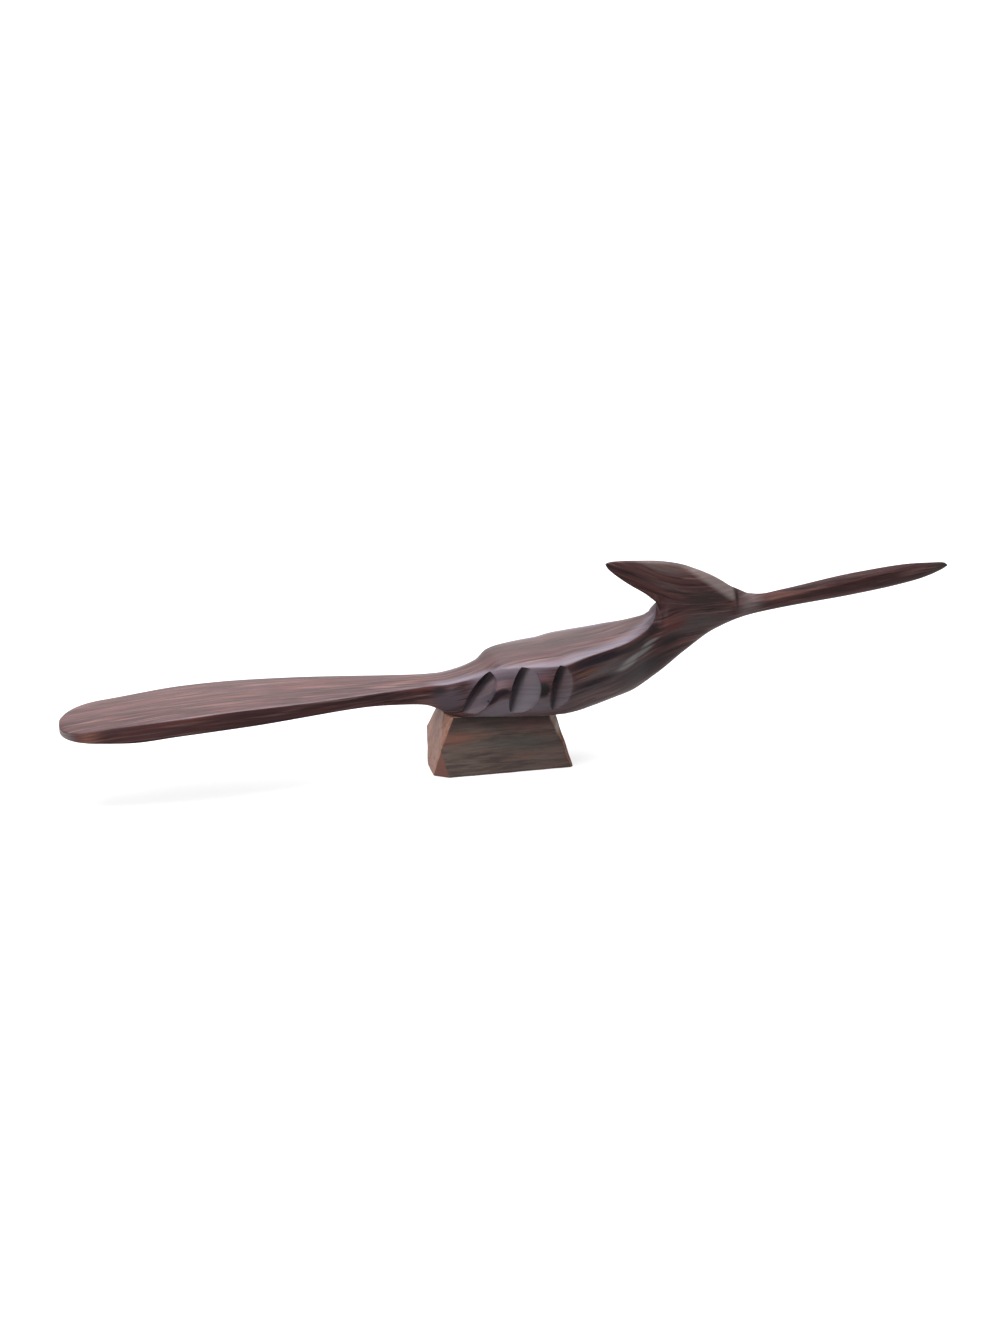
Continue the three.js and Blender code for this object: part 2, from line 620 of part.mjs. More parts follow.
// Materials and assembly.
const polishedWood = new THREE.MeshStandardMaterial({ color: 0x4a3634, roughness: 0.4, metalness: 0 });
const hewnWood = new THREE.MeshStandardMaterial({ color: 0x51423a, roughness: 0.6, metalness: 0 });
const dowelWood = new THREE.MeshStandardMaterial({ color: 0xb58f66, roughness: 0.7, metalness: 0 });

const roadrunner = new THREE.Group();

function place(name, geometry, material, x, z) {
  const mesh = new THREE.Mesh(geometry, material);
  mesh.name = name;
  mesh.position.set(x, 0, z);
  roadrunner.add(mesh);
}

place("pedestal", pedestalBlock(), hewnWood, 0, 0);
place("bird_carving", birdCarving(), polishedWood, SEAT_MARK_AHEAD, PEDESTAL_HEIGHT);
const [rearDowel, frontDowel] = dowelPlaces();
place("rear_dowel", peg(0), dowelWood, rearDowel, PEDESTAL_HEIGHT);
place("front_dowel", peg(0), dowelWood, frontDowel, PEDESTAL_HEIGHT);

export default roadrunner;
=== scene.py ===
import bmesh
import bpy
import numpy as np
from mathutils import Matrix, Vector


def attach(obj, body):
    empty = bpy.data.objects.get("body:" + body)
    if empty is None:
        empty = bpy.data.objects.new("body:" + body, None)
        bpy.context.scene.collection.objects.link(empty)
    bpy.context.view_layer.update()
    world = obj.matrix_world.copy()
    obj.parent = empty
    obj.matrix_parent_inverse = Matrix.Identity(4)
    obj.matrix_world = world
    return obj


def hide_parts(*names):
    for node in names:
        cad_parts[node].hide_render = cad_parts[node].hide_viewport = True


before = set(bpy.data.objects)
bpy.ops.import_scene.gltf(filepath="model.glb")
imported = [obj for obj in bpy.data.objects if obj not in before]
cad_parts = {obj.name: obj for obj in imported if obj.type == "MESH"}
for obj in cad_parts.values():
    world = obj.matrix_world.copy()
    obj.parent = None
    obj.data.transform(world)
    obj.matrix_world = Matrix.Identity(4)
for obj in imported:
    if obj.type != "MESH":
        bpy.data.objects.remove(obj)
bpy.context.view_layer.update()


# Pedestal: an offcut of the bird's own hardwood, sawn to a taper and hewn at its corners with a
# knife. It carries the bird on a planed top, and its faces keep the faint flats of the tool.
# Sizes are in millimetres, and the cuts of each corner are given along and across the block.
MM, MERGE_WITHIN, TINY = 0.001, 1e-6, 1e-9
PEDESTAL_LENGTH, PEDESTAL_WIDTH, PEDESTAL_HEIGHT = 55.0, 35.0, 22.0
PEDESTAL_TOP_LENGTH, PEDESTAL_TOP_WIDTH = 43.0, 24.0
FACET_MEETING_HEIGHT = 10.5
CORNER_CUTS = [
    dict(end=1, side=1, foot=(1.5, 2.5), middle=(0, 0), top=(1.6, 4.0)),
    dict(end=-1, side=1, foot=(4.0, 20.0), middle=(0, 0), top=(2.2, 5.0)),
    dict(end=-1, side=-1, foot=(5.5, 4.0), middle=(0, 0), top=(2.2, 8.0)),
    dict(end=1, side=-1, foot=(1.1, 1.0), middle=(1.3, 1.0), top=(3.4, 1.8)),
]
EDGE_ROUND, EDGE_SHARE = 0.7, 0.45
FOOT_ROUND, TOP_ROUND_SHARE = 0.4, 0.4
HEWN_DEPTH, HEWN_ROOM, HEWN_SLANT = 0.12, 1.4, 0.8
FLAT_ALONG, FLAT_UP, CROSS_ALONG, CROSS_UP = 2.9, 3.7, 6.1, 2.1
FINE_ALONG, FINE_UP, FINE_SWAY, FINE_SHARE = 1.1, 1.3, 0.6, 0.35
ROUND_STEPS, FACE_STEPS, LEVEL_STEPS = 5, 26, 34
PEDESTAL_SHARP_DEGREES = 35


def block_outline(z):
    """Eight corner points of the block at each height: every upright edge is cut back along and
    across the block by amounts that run straight from the foot to the height where its two facets
    meet, and from there to the top."""
    ends, levels = [0, PEDESTAL_HEIGHT], [0.0, FACET_MEETING_HEIGHT, PEDESTAL_HEIGHT]
    half_length = np.interp(z, ends, [PEDESTAL_LENGTH / 2, PEDESTAL_TOP_LENGTH / 2])
    half_width = np.interp(z, ends, [PEDESTAL_WIDTH / 2, PEDESTAL_TOP_WIDTH / 2])
    points = []
    for cut in CORNER_CUTS:
        stages = zip(cut["foot"], cut["middle"], cut["top"])
        along, across = (np.interp(z, levels, stage) for stage in stages)
        on_end = np.stack([cut["end"] * half_length, cut["side"] * (half_width - across), z], -1)
        on_side = np.stack([cut["end"] * (half_length - along), cut["side"] * half_width, z], -1)
        points += [on_end, on_side] if cut["end"] * cut["side"] > 0 else [on_side, on_end]
    return np.stack(points, 1)


def softened(outline):
    """Rings round a polygon with its corners softened: each corner becomes a parabola that starts
    and ends a small way along its two edges, and the edges between are straight."""
    before, after = np.roll(outline, 1, 1) - outline, np.roll(outline, -1, 1) - outline
    reach_before = np.linalg.norm(before, axis=-1, keepdims=True)
    reach_after = np.linalg.norm(after, axis=-1, keepdims=True)
    back = np.minimum(EDGE_ROUND, EDGE_SHARE * np.minimum(reach_before, reach_after))
    start = outline + before * back / np.maximum(reach_before, TINY)
    end = outline + after * back / np.maximum(reach_after, TINY)
    t = np.linspace(0, 1, ROUND_STEPS)[:, None]
    rounds = (1 - t) ** 2 * start[:, :, None] + 2 * t * (1 - t) * outline[:, :, None]
    rounds = rounds + t**2 * end[:, :, None]
    s = np.linspace(0, 1, FACE_STEPS + 2)[1:-1, None]
    faces = end[:, :, None] * (1 - s) + np.roll(start, -1, 1)[:, :, None] * s
    return np.concatenate([rounds, faces], 2).reshape(len(outline), -1, 3)


def hewn_flats(points):
    """Depth of the knife's flats: the product of two slow waves that cross at a slant, plus a finer
    wave that sways up the block."""
    x, y, z = np.moveaxis(points, -1, 0)
    along = x + HEWN_SLANT * y
    slow = np.sin(along / FLAT_ALONG + z / FLAT_UP) * np.sin(z / CROSS_UP - along / CROSS_ALONG)
    fine = np.sin(along / FINE_ALONG + FINE_SWAY * np.sin(z / FINE_UP))
    return HEWN_DEPTH * (slow + FINE_SHARE * fine)


def closed_grid(rows, around):
    """Quads of a grid that closes round its columns."""
    here = np.arange(rows * around).reshape(rows, around)
    beside = np.roll(here, -1, 1)
    return np.stack([here[:-1], beside[:-1], beside[1:], here[1:]], -1).reshape(-1, 4)


def make_piece(name, points, faces, caps=()):
    """A closed mesh from points in millimetres, its doubles merged and its faces turned out."""
    mesh = bpy.data.meshes.new(name)
    mesh.from_pydata((points * MM).tolist(), [], faces.tolist() + [list(cap) for cap in caps])
    shaping = bmesh.new()
    shaping.from_mesh(mesh)
    bmesh.ops.remove_doubles(shaping, verts=shaping.verts, dist=MERGE_WITHIN)
    bmesh.ops.recalc_face_normals(shaping, faces=shaping.faces)
    shaping.to_mesh(mesh)
    shaping.free()
    piece = bpy.data.objects.new(name, mesh)
    bpy.context.scene.collection.objects.link(piece)
    return piece


def cut_from(piece, cutter):
    """Cuts one closed mesh out of another, keeps the result in the piece's own mesh and drops the
    cutter."""
    cut = piece.modifiers.new("cut", "BOOLEAN")
    cut.operation, cut.solver, cut.object = "DIFFERENCE", "EXACT", cutter
    shaped = piece.evaluated_get(bpy.context.evaluated_depsgraph_get())
    mesh = bpy.data.meshes.new_from_object(shaped)
    piece.modifiers.clear()
    piece.data = mesh
    bpy.data.objects.remove(cutter)


def smooth_faces(piece, sharp_degrees):
    """Smooth shading that breaks at edges sharper than the angle."""
    piece.data.shade_smooth()
    piece.data.set_sharp_from_angle(angle=np.radians(sharp_degrees))


DOWEL_DIAMETER, DOWEL_LENGTH, DOWEL_CHAMFER = 6.0, 18.0, 0.8
DOWEL_PLACES = (-11.0, 11.0)
DOWEL_CLEARANCE = 0.3
PEG_SIDES = 48


def dowel_hole(x):
    """The hole for one dowel, centred on the joint: a round profile with chamfered ends, turned
    upright."""
    radius = DOWEL_DIAMETER / 2 + DOWEL_CLEARANCE
    half = DOWEL_LENGTH / 2 + DOWEL_CLEARANCE
    profile = np.array([
        (0, -half), (radius - DOWEL_CHAMFER, -half), (radius, DOWEL_CHAMFER - half),
        (radius, half - DOWEL_CHAMFER), (radius - DOWEL_CHAMFER, half), (0, half),
    ])
    turn = np.linspace(0, 2 * np.pi, PEG_SIDES, endpoint=False)
    points = np.stack(np.broadcast_arrays(
        x + profile[:, :1] * np.cos(turn), profile[:, :1] * np.sin(turn),
        PEDESTAL_HEIGHT + profile[:, 1:],
    ), -1)
    return make_piece("hole", points.reshape(-1, 3), closed_grid(len(profile), PEG_SIDES))


def pedestal_surface():
    """Rings up the block, drawn in at foot and top by a quarter round, with the knife's flats
    pressed in along each ring's own outward direction."""
    turn = np.linspace(0, np.pi / 2, ROUND_STEPS)
    foot = FOOT_ROUND * (1 - np.cos(turn))
    between = np.linspace(FOOT_ROUND, PEDESTAL_HEIGHT - FOOT_ROUND, LEVEL_STEPS)[1:-1]
    z = np.concatenate([foot, between, PEDESTAL_HEIGHT - foot[::-1]])
    drawn = FOOT_ROUND * (1 - np.sin(turn))
    inset = np.concatenate([drawn, np.zeros_like(between), TOP_ROUND_SHARE * drawn[::-1]])
    rings = softened(block_outline(z))
    along = np.roll(rings, -1, 1) - np.roll(rings, 1, 1)
    outward = np.stack([along[..., 1], -along[..., 0]], -1)
    outward /= np.maximum(np.linalg.norm(outward, axis=-1, keepdims=True), TINY)
    depth = inset[:, None] + HEWN_DEPTH * HEWN_ROOM - hewn_flats(rings)
    rings[..., :2] -= outward * depth[..., None]
    return rings


rings = pedestal_surface()
level_count, ring_count = rings.shape[:2]
pedestal = make_piece(
    "pedestal_block", rings.reshape(-1, 3), closed_grid(level_count, ring_count),
    caps=[range(ring_count), range((level_count - 1) * ring_count, level_count * ring_count)],
)
for place in DOWEL_PLACES:
    cut_from(pedestal, dowel_hole(place))
smooth_faces(pedestal, PEDESTAL_SHARP_DEGREES)

# Paleness of each face and facet: partly the paler wood the knife bared, partly painted light,
# strongest on the rear end and the upper facets, which face the lamps.
SIDE_PALENESS, FRONT_PALENESS, REAR_PALENESS = 0, 0.3, 0.85
UPPER_FACET_PALENESS, LOWER_FACET_PALENESS = 1, 0.4
FACE_PALENESS = {1: SIDE_PALENESS, 3: REAR_PALENESS, 5: SIDE_PALENESS, 7: FRONT_PALENESS}
corners = block_outline(np.array([0, FACET_MEETING_HEIGHT, PEDESTAL_HEIGHT]))
corner_count = corners.shape[1]
planes, paleness = [], []
for corner in range(corner_count):
    for level in (0, 2):
        along = corners[level, (corner + 1) % corner_count] - corners[level, corner]
        up = corners[1, corner] - corners[level, corner]
        outward = np.cross(along, up) * (1 - level)
        planes.append(outward / np.linalg.norm(outward))
        facet = UPPER_FACET_PALENESS if level else LOWER_FACET_PALENESS
        paleness.append(FACE_PALENESS.get(corner, facet))
normals = np.empty(3 * len(pedestal.data.polygons))
pedestal.data.polygons.foreach_get("normal", normals)
nearest = np.argmax(normals.reshape(-1, 3) @ np.array(planes).T, 1)
cut_and_lit = pedestal.data.attributes.new("cut_and_lit", "FLOAT", "FACE")
cut_and_lit.data.foreach_set("value", np.array(paleness, float)[nearest])


class Wire:
    """An output in a finish's node tree. Operators on wires and numbers add the Math nodes."""

    def __init__(self, tree, socket=None):
        self.tree, self.socket = tree, socket

    def add(self, kind, settings=None, inputs=None, output=0):
        """A new node: its settings first, then its sockets' numbers, colours or wires."""
        node = self.tree.nodes.new(kind)
        for name, value in (settings or {}).items():
            setattr(node, name, value)
        for name, value in (inputs or {}).items():
            if isinstance(value, Wire):
                self.tree.links.new(value.socket, node.inputs[name])
            else:
                node.inputs[name].default_value = value
        return Wire(self.tree, node.outputs[output])

    def math(self, operation, first, second):
        """A Math node on two wires or numbers."""
        return self.add("ShaderNodeMath", {"operation": operation}, {0: first, 1: second})

    def __add__(self, other):
        return self.math("ADD", self, other)

    def __sub__(self, other):
        return self.math("SUBTRACT", self, other)

    def __rsub__(self, other):
        return self.math("SUBTRACT", other, self)

    def __mul__(self, other):
        return self.math("MULTIPLY", self, other)

    __radd__, __rmul__ = __add__, __mul__


def new_finish(name, **constants):
    """A new material, a wire for its tree and its shader, with the constants set on the shader's
    sockets."""
    material = bpy.data.materials.new(name)
    material.use_nodes = True
    shader = material.node_tree.nodes["Principled BSDF"]
    for socket, value in constants.items():
        shader.inputs[socket.replace("_", " ")].default_value = value
    return material, Wire(material.node_tree), shader


NOISE_ROUGHNESS = 0.6


def stretched_noise(
    wire, place, scale, detail, lengthen, distortion=0.0, turn=0.0, offset=(0, 0, 0)
):
    """Noise over a place in metres, drawn out along the grain by a factor and turned a little from
    it."""
    drawn_out = wire.add("ShaderNodeMapping", inputs={
        "Vector": place, "Scale": (1 / lengthen, 1, 1), "Rotation": (0, -turn, turn),
        "Location": offset,
    })
    return wire.add("ShaderNodeTexNoise", inputs={
        "Vector": drawn_out, "Scale": scale, "Detail": detail, "Roughness": NOISE_ROUGHNESS,
        "Distortion": distortion,
    })


def grade(wire, value, low, high):
    """Zero below one bound, one above the other, and smooth between."""
    return wire.add("ShaderNodeMapRange", {"interpolation_type": "SMOOTHSTEP"}, {
        "Value": value, "From Min": low, "From Max": high,
    })


def soft_mark(wire, place, middle, reach):
    """One in the middle of an ellipsoid, and falling smoothly to zero at its reach. Both are in
    millimetres."""
    middle, shrink = [c * MM for c in middle], [1 / (r * MM) for r in reach]
    apart = wire.add("ShaderNodeVectorMath", {"operation": "SUBTRACT"}, {0: place, 1: middle})
    apart = wire.add("ShaderNodeVectorMath", {"operation": "MULTIPLY"}, {0: apart, 1: shrink})
    away = wire.add("ShaderNodeVectorMath", {"operation": "LENGTH"}, {0: apart}, output="Value")
    return grade(wire, 1 - away, 0, 1)


def mix_colour(wire, factor, first, second):
    """One colour turned into another by a factor. Each is a wire or three numbers."""
    first, second = (c if isinstance(c, Wire) else (*c, 1) for c in (first, second))
    mixed = {0: factor, 6: first, 7: second}
    return wire.add("ShaderNodeMix", {"data_type": "RGBA"}, mixed, output=2)


def feed(wire, shader, colour, roughness, height, strength, distance):
    """Leads a colour, a roughness and a bump height into the shader."""
    bump = wire.add("ShaderNodeBump", inputs={
        "Height": height, "Strength": strength, "Distance": distance,
    })
    for socket, source in (("Base Color", colour), ("Roughness", roughness), ("Normal", bump)):
        wire.tree.links.new(source.socket, shader.inputs[socket])


HEWN_IOR = 1.25
HEWN_FIBRE = dict(scale=1500, detail=4, lengthen=12, distortion=0.3)
HEWN_BANDS = dict(scale=420, detail=3, lengthen=10, distortion=0.6, turn=0.03)
HEWN_FIGURE = dict(scale=380, detail=3, lengthen=8, distortion=0.5, offset=(0.31, 0.2, 0.07))
HEWN_DARK, HEWN_BROWN, HEWN_BOUNDS = (0.036, 0.024, 0.021), (0.078, 0.056, 0.047), (0.36, 0.64)
HEWN_RED, HEWN_RED_BOUNDS, HEWN_RED_SHARE = (0.13, 0.050, 0.034), (0.52, 0.70), 0.35
SIDE_MARKS = [
    dict(x=-19.0, z=14.5, reach=(14, 4.0), amount=1.0, colour=(0.115, 0.048, 0.034)),
    dict(x=12.0, z=18.0, reach=(16, 4.0), amount=0.9, colour=(0.090, 0.040, 0.036)),
    dict(x=6.0, z=11.0, reach=(26, 4.5), amount=0.9, colour=(0.052, 0.049, 0.043)),
    dict(x=18.0, z=5.0, reach=(13, 4.5), amount=0.7, colour=(0.095, 0.062, 0.054)),
]
NEAR_SIDE, NEAR_SIDE_REACH, SIDE_MARK_BASE = -15.0, 12.0, 0.3
# Painted shade: the block's faces darken over their top 8 mm, under the bird's overhanging belly.
TOP_SHADE_DARK, TOP_SHADE_DEPTH, TOP_SHADE_SHARE = (0.018, 0.012, 0.011), 8.0, 0.9
# Orange and pale colours of the paled faces: partly bared wood, partly painted light.
CUT_AND_LIT_PALE, CUT_AND_LIT_ORANGE = (0.195, 0.105, 0.076), (0.135, 0.054, 0.035)
CUT_AND_LIT_BOUNDS, CUT_AND_LIT_FROM = (0.40, 0.58), 0.4
CUT_AND_LIT_DEEP, CUT_AND_LIT_GAIN = (0.100, 0.040, 0.029), 2.2
# Painted highlight: two whitish spots high on the facet of the front near corner.
HIGHLIGHT_PALE = (0.30, 0.265, 0.235)
HIGHLIGHT_SPOTS = [
    dict(middle=(20.3, -11.6, 21.0), reach=(2.3, 4.0, 5.0)),
    dict(middle=(22.0, -12.9, 16.5), reach=(1.8, 4.0, 5.0)),
]
HEWN_SMOOTHEST, HEWN_ROUGHENING, BAND_HEIGHT = 0.42, 0.2, 0.6
HEWN_BUMP = dict(strength=0.25, distance=0.0004)
hewn_wood, wire, shader = new_finish("hewn_wood", IOR=HEWN_IOR)
place = wire.add("ShaderNodeTexCoord", output="Object")
fibre = stretched_noise(wire, place, **HEWN_FIBRE)
bands = stretched_noise(wire, place, **HEWN_BANDS)
red = stretched_noise(wire, place, **HEWN_FIGURE)
grain_tone = bands * 0.5 + fibre * 0.5
tone = mix_colour(wire, grade(wire, grain_tone, *HEWN_BOUNDS), HEWN_DARK, HEWN_BROWN)
tone = mix_colour(wire, grade(wire, red, *HEWN_RED_BOUNDS) * HEWN_RED_SHARE, tone, HEWN_RED)
for mark in SIDE_MARKS:
    reach_along, reach_up = mark["reach"]
    shape = soft_mark(
        wire, place, (mark["x"], NEAR_SIDE, mark["z"]), (reach_along, NEAR_SIDE_REACH, reach_up)
    )
    shape = shape * mark["amount"] * (SIDE_MARK_BASE + bands)
    tone = mix_colour(wire, shape, tone, mark["colour"])
height = wire.add("ShaderNodeSeparateXYZ", inputs={0: place}, output="Z")
# Painted shade, darkening the faces towards the top, under the bird.
top_shade = grade(wire, height, (PEDESTAL_HEIGHT - TOP_SHADE_DEPTH) * MM, PEDESTAL_HEIGHT * MM)
tone = mix_colour(wire, top_shade * TOP_SHADE_SHARE, tone, TOP_SHADE_DARK)
# The paled faces turn orange and then pale: partly bared wood, partly painted light.
cut_and_lit_tone = mix_colour(wire, grade(wire, grain_tone, *CUT_AND_LIT_BOUNDS), CUT_AND_LIT_ORANGE, CUT_AND_LIT_PALE)
lightening = wire.add("ShaderNodeAttribute", {"attribute_name": "cut_and_lit"}, output="Fac")
tone = mix_colour(wire, lightening * CUT_AND_LIT_GAIN, tone, CUT_AND_LIT_DEEP)
tone = mix_colour(wire, grade(wire, lightening, CUT_AND_LIT_FROM, 1), tone, cut_and_lit_tone)
# Painted highlight on the front near corner's facet.
for spot in HIGHLIGHT_SPOTS:
    tone = mix_colour(wire, soft_mark(wire, place, **spot), tone, HIGHLIGHT_PALE)
feed(
    wire, shader, tone, HEWN_SMOOTHEST + fibre * HEWN_ROUGHENING, fibre + bands * BAND_HEIGHT,
    **HEWN_BUMP,
)
pedestal.data.materials.append(hewn_wood)
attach(pedestal, "root")
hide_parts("pedestal")


# Dowels: two plain birch pegs, glued half into the pedestal and half into the belly, so the bird
# can't twist. They are turned rod with chamfered ends, and neither shows once the bird is seated.
BIRCH_IOR = 1.45
BIRCH_PALE, BIRCH_TAN = (0.56, 0.38, 0.20), (0.40, 0.23, 0.10)
BIRCH_FIBRE = dict(scale=900, detail=4, lengthen=1, distortion=0.2)
BIRCH_SMOOTHEST, BIRCH_ROUGHENING = 0.6, 0.2
BIRCH_BUMP = dict(strength=0.2, distance=0.0003)
birch, wire, shader = new_finish("birch_rod", IOR=BIRCH_IOR)
fibre = stretched_noise(wire, wire.add("ShaderNodeTexCoord", output="Object"), **BIRCH_FIBRE)
tone = mix_colour(wire, fibre, BIRCH_TAN, BIRCH_PALE)
feed(wire, shader, tone, BIRCH_SMOOTHEST + fibre * BIRCH_ROUGHENING, fibre, **BIRCH_BUMP)
for node in ("rear_dowel", "front_dowel"):
    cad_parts[node].data.materials.clear()
    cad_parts[node].data.materials.append(birch)


# Bird: one blank of dark desert hardwood, band-sawn to its side and top outlines, then rasped,
# sanded and waxed. Back and tail meet the sides at a crisp arris, and the crest is left standing
# over a sawn notch at the nape. Places run from a mark on its seat, and heights are above the seat.
SEAT_MARK_AHEAD = 2.0
TAIL_END, TAIL_END_ROUND, TAIL_END_POWER = -162.8, 14.0, 2.4
TAIL_SQUARE, TAIL_BROAD, TAIL_BLADE = -138.0, -121.3, -98.0
TAIL_TAPER, TAIL_ROOT, TAIL_NECK = -75.4, -56.0, -40.0
RUMP, WAIST, SEAT_REAR, HIP, BELLY_REAR = -31.0, -24.0, -21.5, -16.0, -14.2
SHOULDER, HEEL, WING_REAR, WING, WING_FRONT = -8.0, -2.0, 4.0, 19.0, 26.0
FLANK, BREAST, NAPE, NAPE_TURN, NOTCH = 34.9, 46.1, 59.5, 61.8, 64.1
CREST_TIP, CREST_TOP, CHEEK, GULLET, THROAT = 42.4, 49.4, 74.6, 76.1, 88.2
HEAD_FRONT, BEAK_ROOT, BEAK_NECK = 97.0, 103.0, 117.4
BEAK_BROAD, BEAK_TAPER, BEAK_TIP = 151.6, 178.6, 193.0
NOTCH_RISE, NOTCH_HALF_WIDTH, NECK_HALF_WIDTH = 37.4, 0.8, 8.2


def fair_line(*points):
    """A smooth line through (place, value) points that never overshoots them: cubic pieces whose
    slope at each inner point is the harmonic mean of the grades on its two sides, or zero at a
    turn."""
    places, values = np.array(points, float).T
    grades = np.diff(values) / np.diff(places)
    before, after = grades[:-1], grades[1:]
    turns = before * after <= 0
    inner = np.where(turns, 0, 2 * before * after / np.where(turns, 1, before + after))
    slopes = np.concatenate([grades[:1], inner, grades[-1:]])

    def line(x):
        x = np.clip(x, places[0], places[-1])
        i = np.clip(np.searchsorted(places, x, side="right") - 1, 0, len(places) - 2)
        span = places[i + 1] - places[i]
        t = (x - places[i]) / span
        ease = t * t * (3 - 2 * t)
        bend = span * t * (1 - t) * ((1 - t) * slopes[i] - t * slopes[i + 1])
        return values[i] * (1 - ease) + values[i + 1] * ease + bend

    return line


half_width = fair_line(
    (TAIL_END, 19.2), (TAIL_END + TAIL_END_ROUND, 19.2), (TAIL_BROAD, 21.4), (TAIL_BLADE, 20.1),
    (TAIL_TAPER, 17.6), (TAIL_ROOT, 14.0), (TAIL_NECK, 10.7), (RUMP, 9.9), (WAIST, 11.8),
    (SHOULDER, 15.2), (WING_REAR, 19.6), (WING, 22.2), (FLANK, 19.5), (BREAST, 16.3), (NAPE, 9.3),
    (NOTCH, NECK_HALF_WIDTH), (CHEEK, 7.3), (THROAT, 6.1), (HEAD_FRONT, 4.0), (BEAK_ROOT, 3.2),
    (BEAK_BROAD, 3.3), (BEAK_TAPER, 2.3), (BEAK_TIP, 0.5),
)
arris_rise = fair_line(
    (TAIL_END, 6.2), (TAIL_SQUARE, 8.9), (TAIL_BROAD, 10.4), (TAIL_BLADE, 11.6), (WAIST, 12.4),
    (HIP, 13.6), (SHOULDER, 15.9), (HEEL, 18.8), (WING_REAR, 19.7), (WING, 20.6),
    (WING_FRONT, 22.4), (BREAST, 26.2), (NAPE, 30.3), (NAPE_TURN, 32.7), (NOTCH, NOTCH_RISE),
    (CHEEK, 35.9), (THROAT, 34.5), (HEAD_FRONT, 34.1), (BEAK_ROOT, 34.9), (BEAK_BROAD, 41.3),
    (BEAK_TIP, 46.4),
)
neck_rise = fair_line((BREAST, 26.2), (NAPE, 30.3), (CHEEK, 35.9))
keel_rise = fair_line(
    (TAIL_END, 4.2), (TAIL_SQUARE, 2.2), (TAIL_BROAD, 3.7), (TAIL_BLADE, 4.9), (TAIL_ROOT, 7.1),
    (TAIL_NECK, 5.7), (RUMP, 4.4), (WAIST, 1.4), (SEAT_REAR, 0), (BELLY_REAR, -4), (20.0, -4),
    (FLANK, -1.2), (BREAST, 1.2), (53.0, 2.6), (NOTCH, 8.4), (GULLET, 17.2), (THROAT, 25.2),
    (BEAK_ROOT, 30.1), (BEAK_NECK, 32.4), (BEAK_BROAD, 36.4), (BEAK_TAPER, 40.8), (190.5, 44.6),
    (BEAK_TIP, 46.1),
)
back_crown = fair_line(
    (TAIL_END, 0.7), (WAIST, 0.7), (WING, 2.0), (FLANK, 1.2), (NAPE, 2.0), (NOTCH, 0),
)
ridge_share = fair_line(
    (TAIL_NECK, 1), (RUMP, 0.9), (WAIST, 0.74), (HIP, 0.68), (SHOULDER, 0.7), (HEEL, 0.88),
    (WING_REAR, 0.93), (WING, 1), (BREAST, 1), (56.0, 0.93), (NAPE, 0.72), (NAPE_TURN, 0.48),
    (NOTCH, NOTCH_HALF_WIDTH / NECK_HALF_WIDTH), (66.3, 0.62), (69.0, 0.88), (72.0, 0.97),
    (CHEEK, 1),
)
flank_flare = fair_line((WAIST, 1.7), (WING, 3), (NAPE, 9))
squareness = fair_line(
    (TAIL_ROOT, 18), (TAIL_NECK, 9), (WAIST, 5), (WING, 3.4), (NOTCH, 2.4), (BEAK_ROOT, 2),
)
arris_round = fair_line(
    (TAIL_END, 0.7), (WAIST, 0.8), (SHOULDER, 0.9), (WING, 0.9), (FLANK, 0.9), (NAPE, 0.8),
    (NOTCH, 0),
)
BACK_POWER, ROUND_SHARE = 3, 0.3
BACK_COLUMNS, ARRIS_COLUMNS, FLANK_COLUMNS = 18, 6, 34

head_top = fair_line(
    (CREST_TIP, 54.1), (43.1, 54.5), (44.9, 54.85), (CREST_TOP, 54.95), (55.8, 54.7), (63.1, 54.3),
    (69.5, 53.5), (CHEEK, 52.4), (78.3, 51.1), (83.0, 49.3), (THROAT, 46.9), (91.6, 45.0),
    (95.5, 42.6), (98.3, 41.4), (100.7, 40.3), (BEAK_ROOT, 39.4), (108.7, 38.8), (BEAK_NECK, 40.0),
    (BEAK_BROAD, 45.6), (BEAK_TAPER, 48.0), (189.5, 47.9), (192.2, 47.5), (BEAK_TIP, 46.8),
)
head_bevel = fair_line(
    (CREST_TIP, 0.2), (57.0, 0.4), (66.0, 0.5), (70.3, 0.8), (CHEEK, 1.6), (79.2, 2.9),
    (THROAT, 5.0), (92.0, 5.4), (HEAD_FRONT, 4.6), (BEAK_ROOT, 2.2), (BEAK_BROAD, 2.0),
    (BEAK_TIP, 0.3),
)
top_half_width = fair_line(
    (CREST_TIP, 0.4), (57.0, 2.3), (66.0, 3.5), (CHEEK, 4.8), (85.0, 5.5), (92.0, 4.9), (95.6, 4.1),
    (96.9, 3.1), (98.4, 3.1), (BEAK_ROOT, 2.6), (BEAK_BROAD, 2.6), (BEAK_TIP, 0.4),
)
side_half_width = fair_line(
    (CREST_TIP, 0.6), (52.0, 3.0), (NOTCH, 5.8), (CHEEK, 7.3), (THROAT, 6.1), (95.6, 4.6),
    (96.9, 3.9), (98.4, 3.8), (BEAK_ROOT, 3.2), (BEAK_BROAD, 3.3), (BEAK_TAPER, 2.3),
    (BEAK_TIP, 0.5),
)
side_level = fair_line((CREST_TIP, 0.5), (NOTCH, 0.42), (THROAT, 0.3), (BEAK_ROOT, 0.04))
crest_under = fair_line(
    (CREST_TIP, 53.5), (43.2, 52.2), (46.5, 49.3), (52.6, 45.1), (59.3, 41.1), (NOTCH, NOTCH_RISE),
)
crest_edge = fair_line((CREST_TIP, 0.3), (NOTCH, NOTCH_HALF_WIDTH))
brow_round = fair_line(
    (CREST_TIP, 0.1), (57.0, 0.5), (CHEEK, 1.0), (THROAT, 1.5), (BEAK_ROOT, 0.6), (BEAK_TIP, 0.05),
)
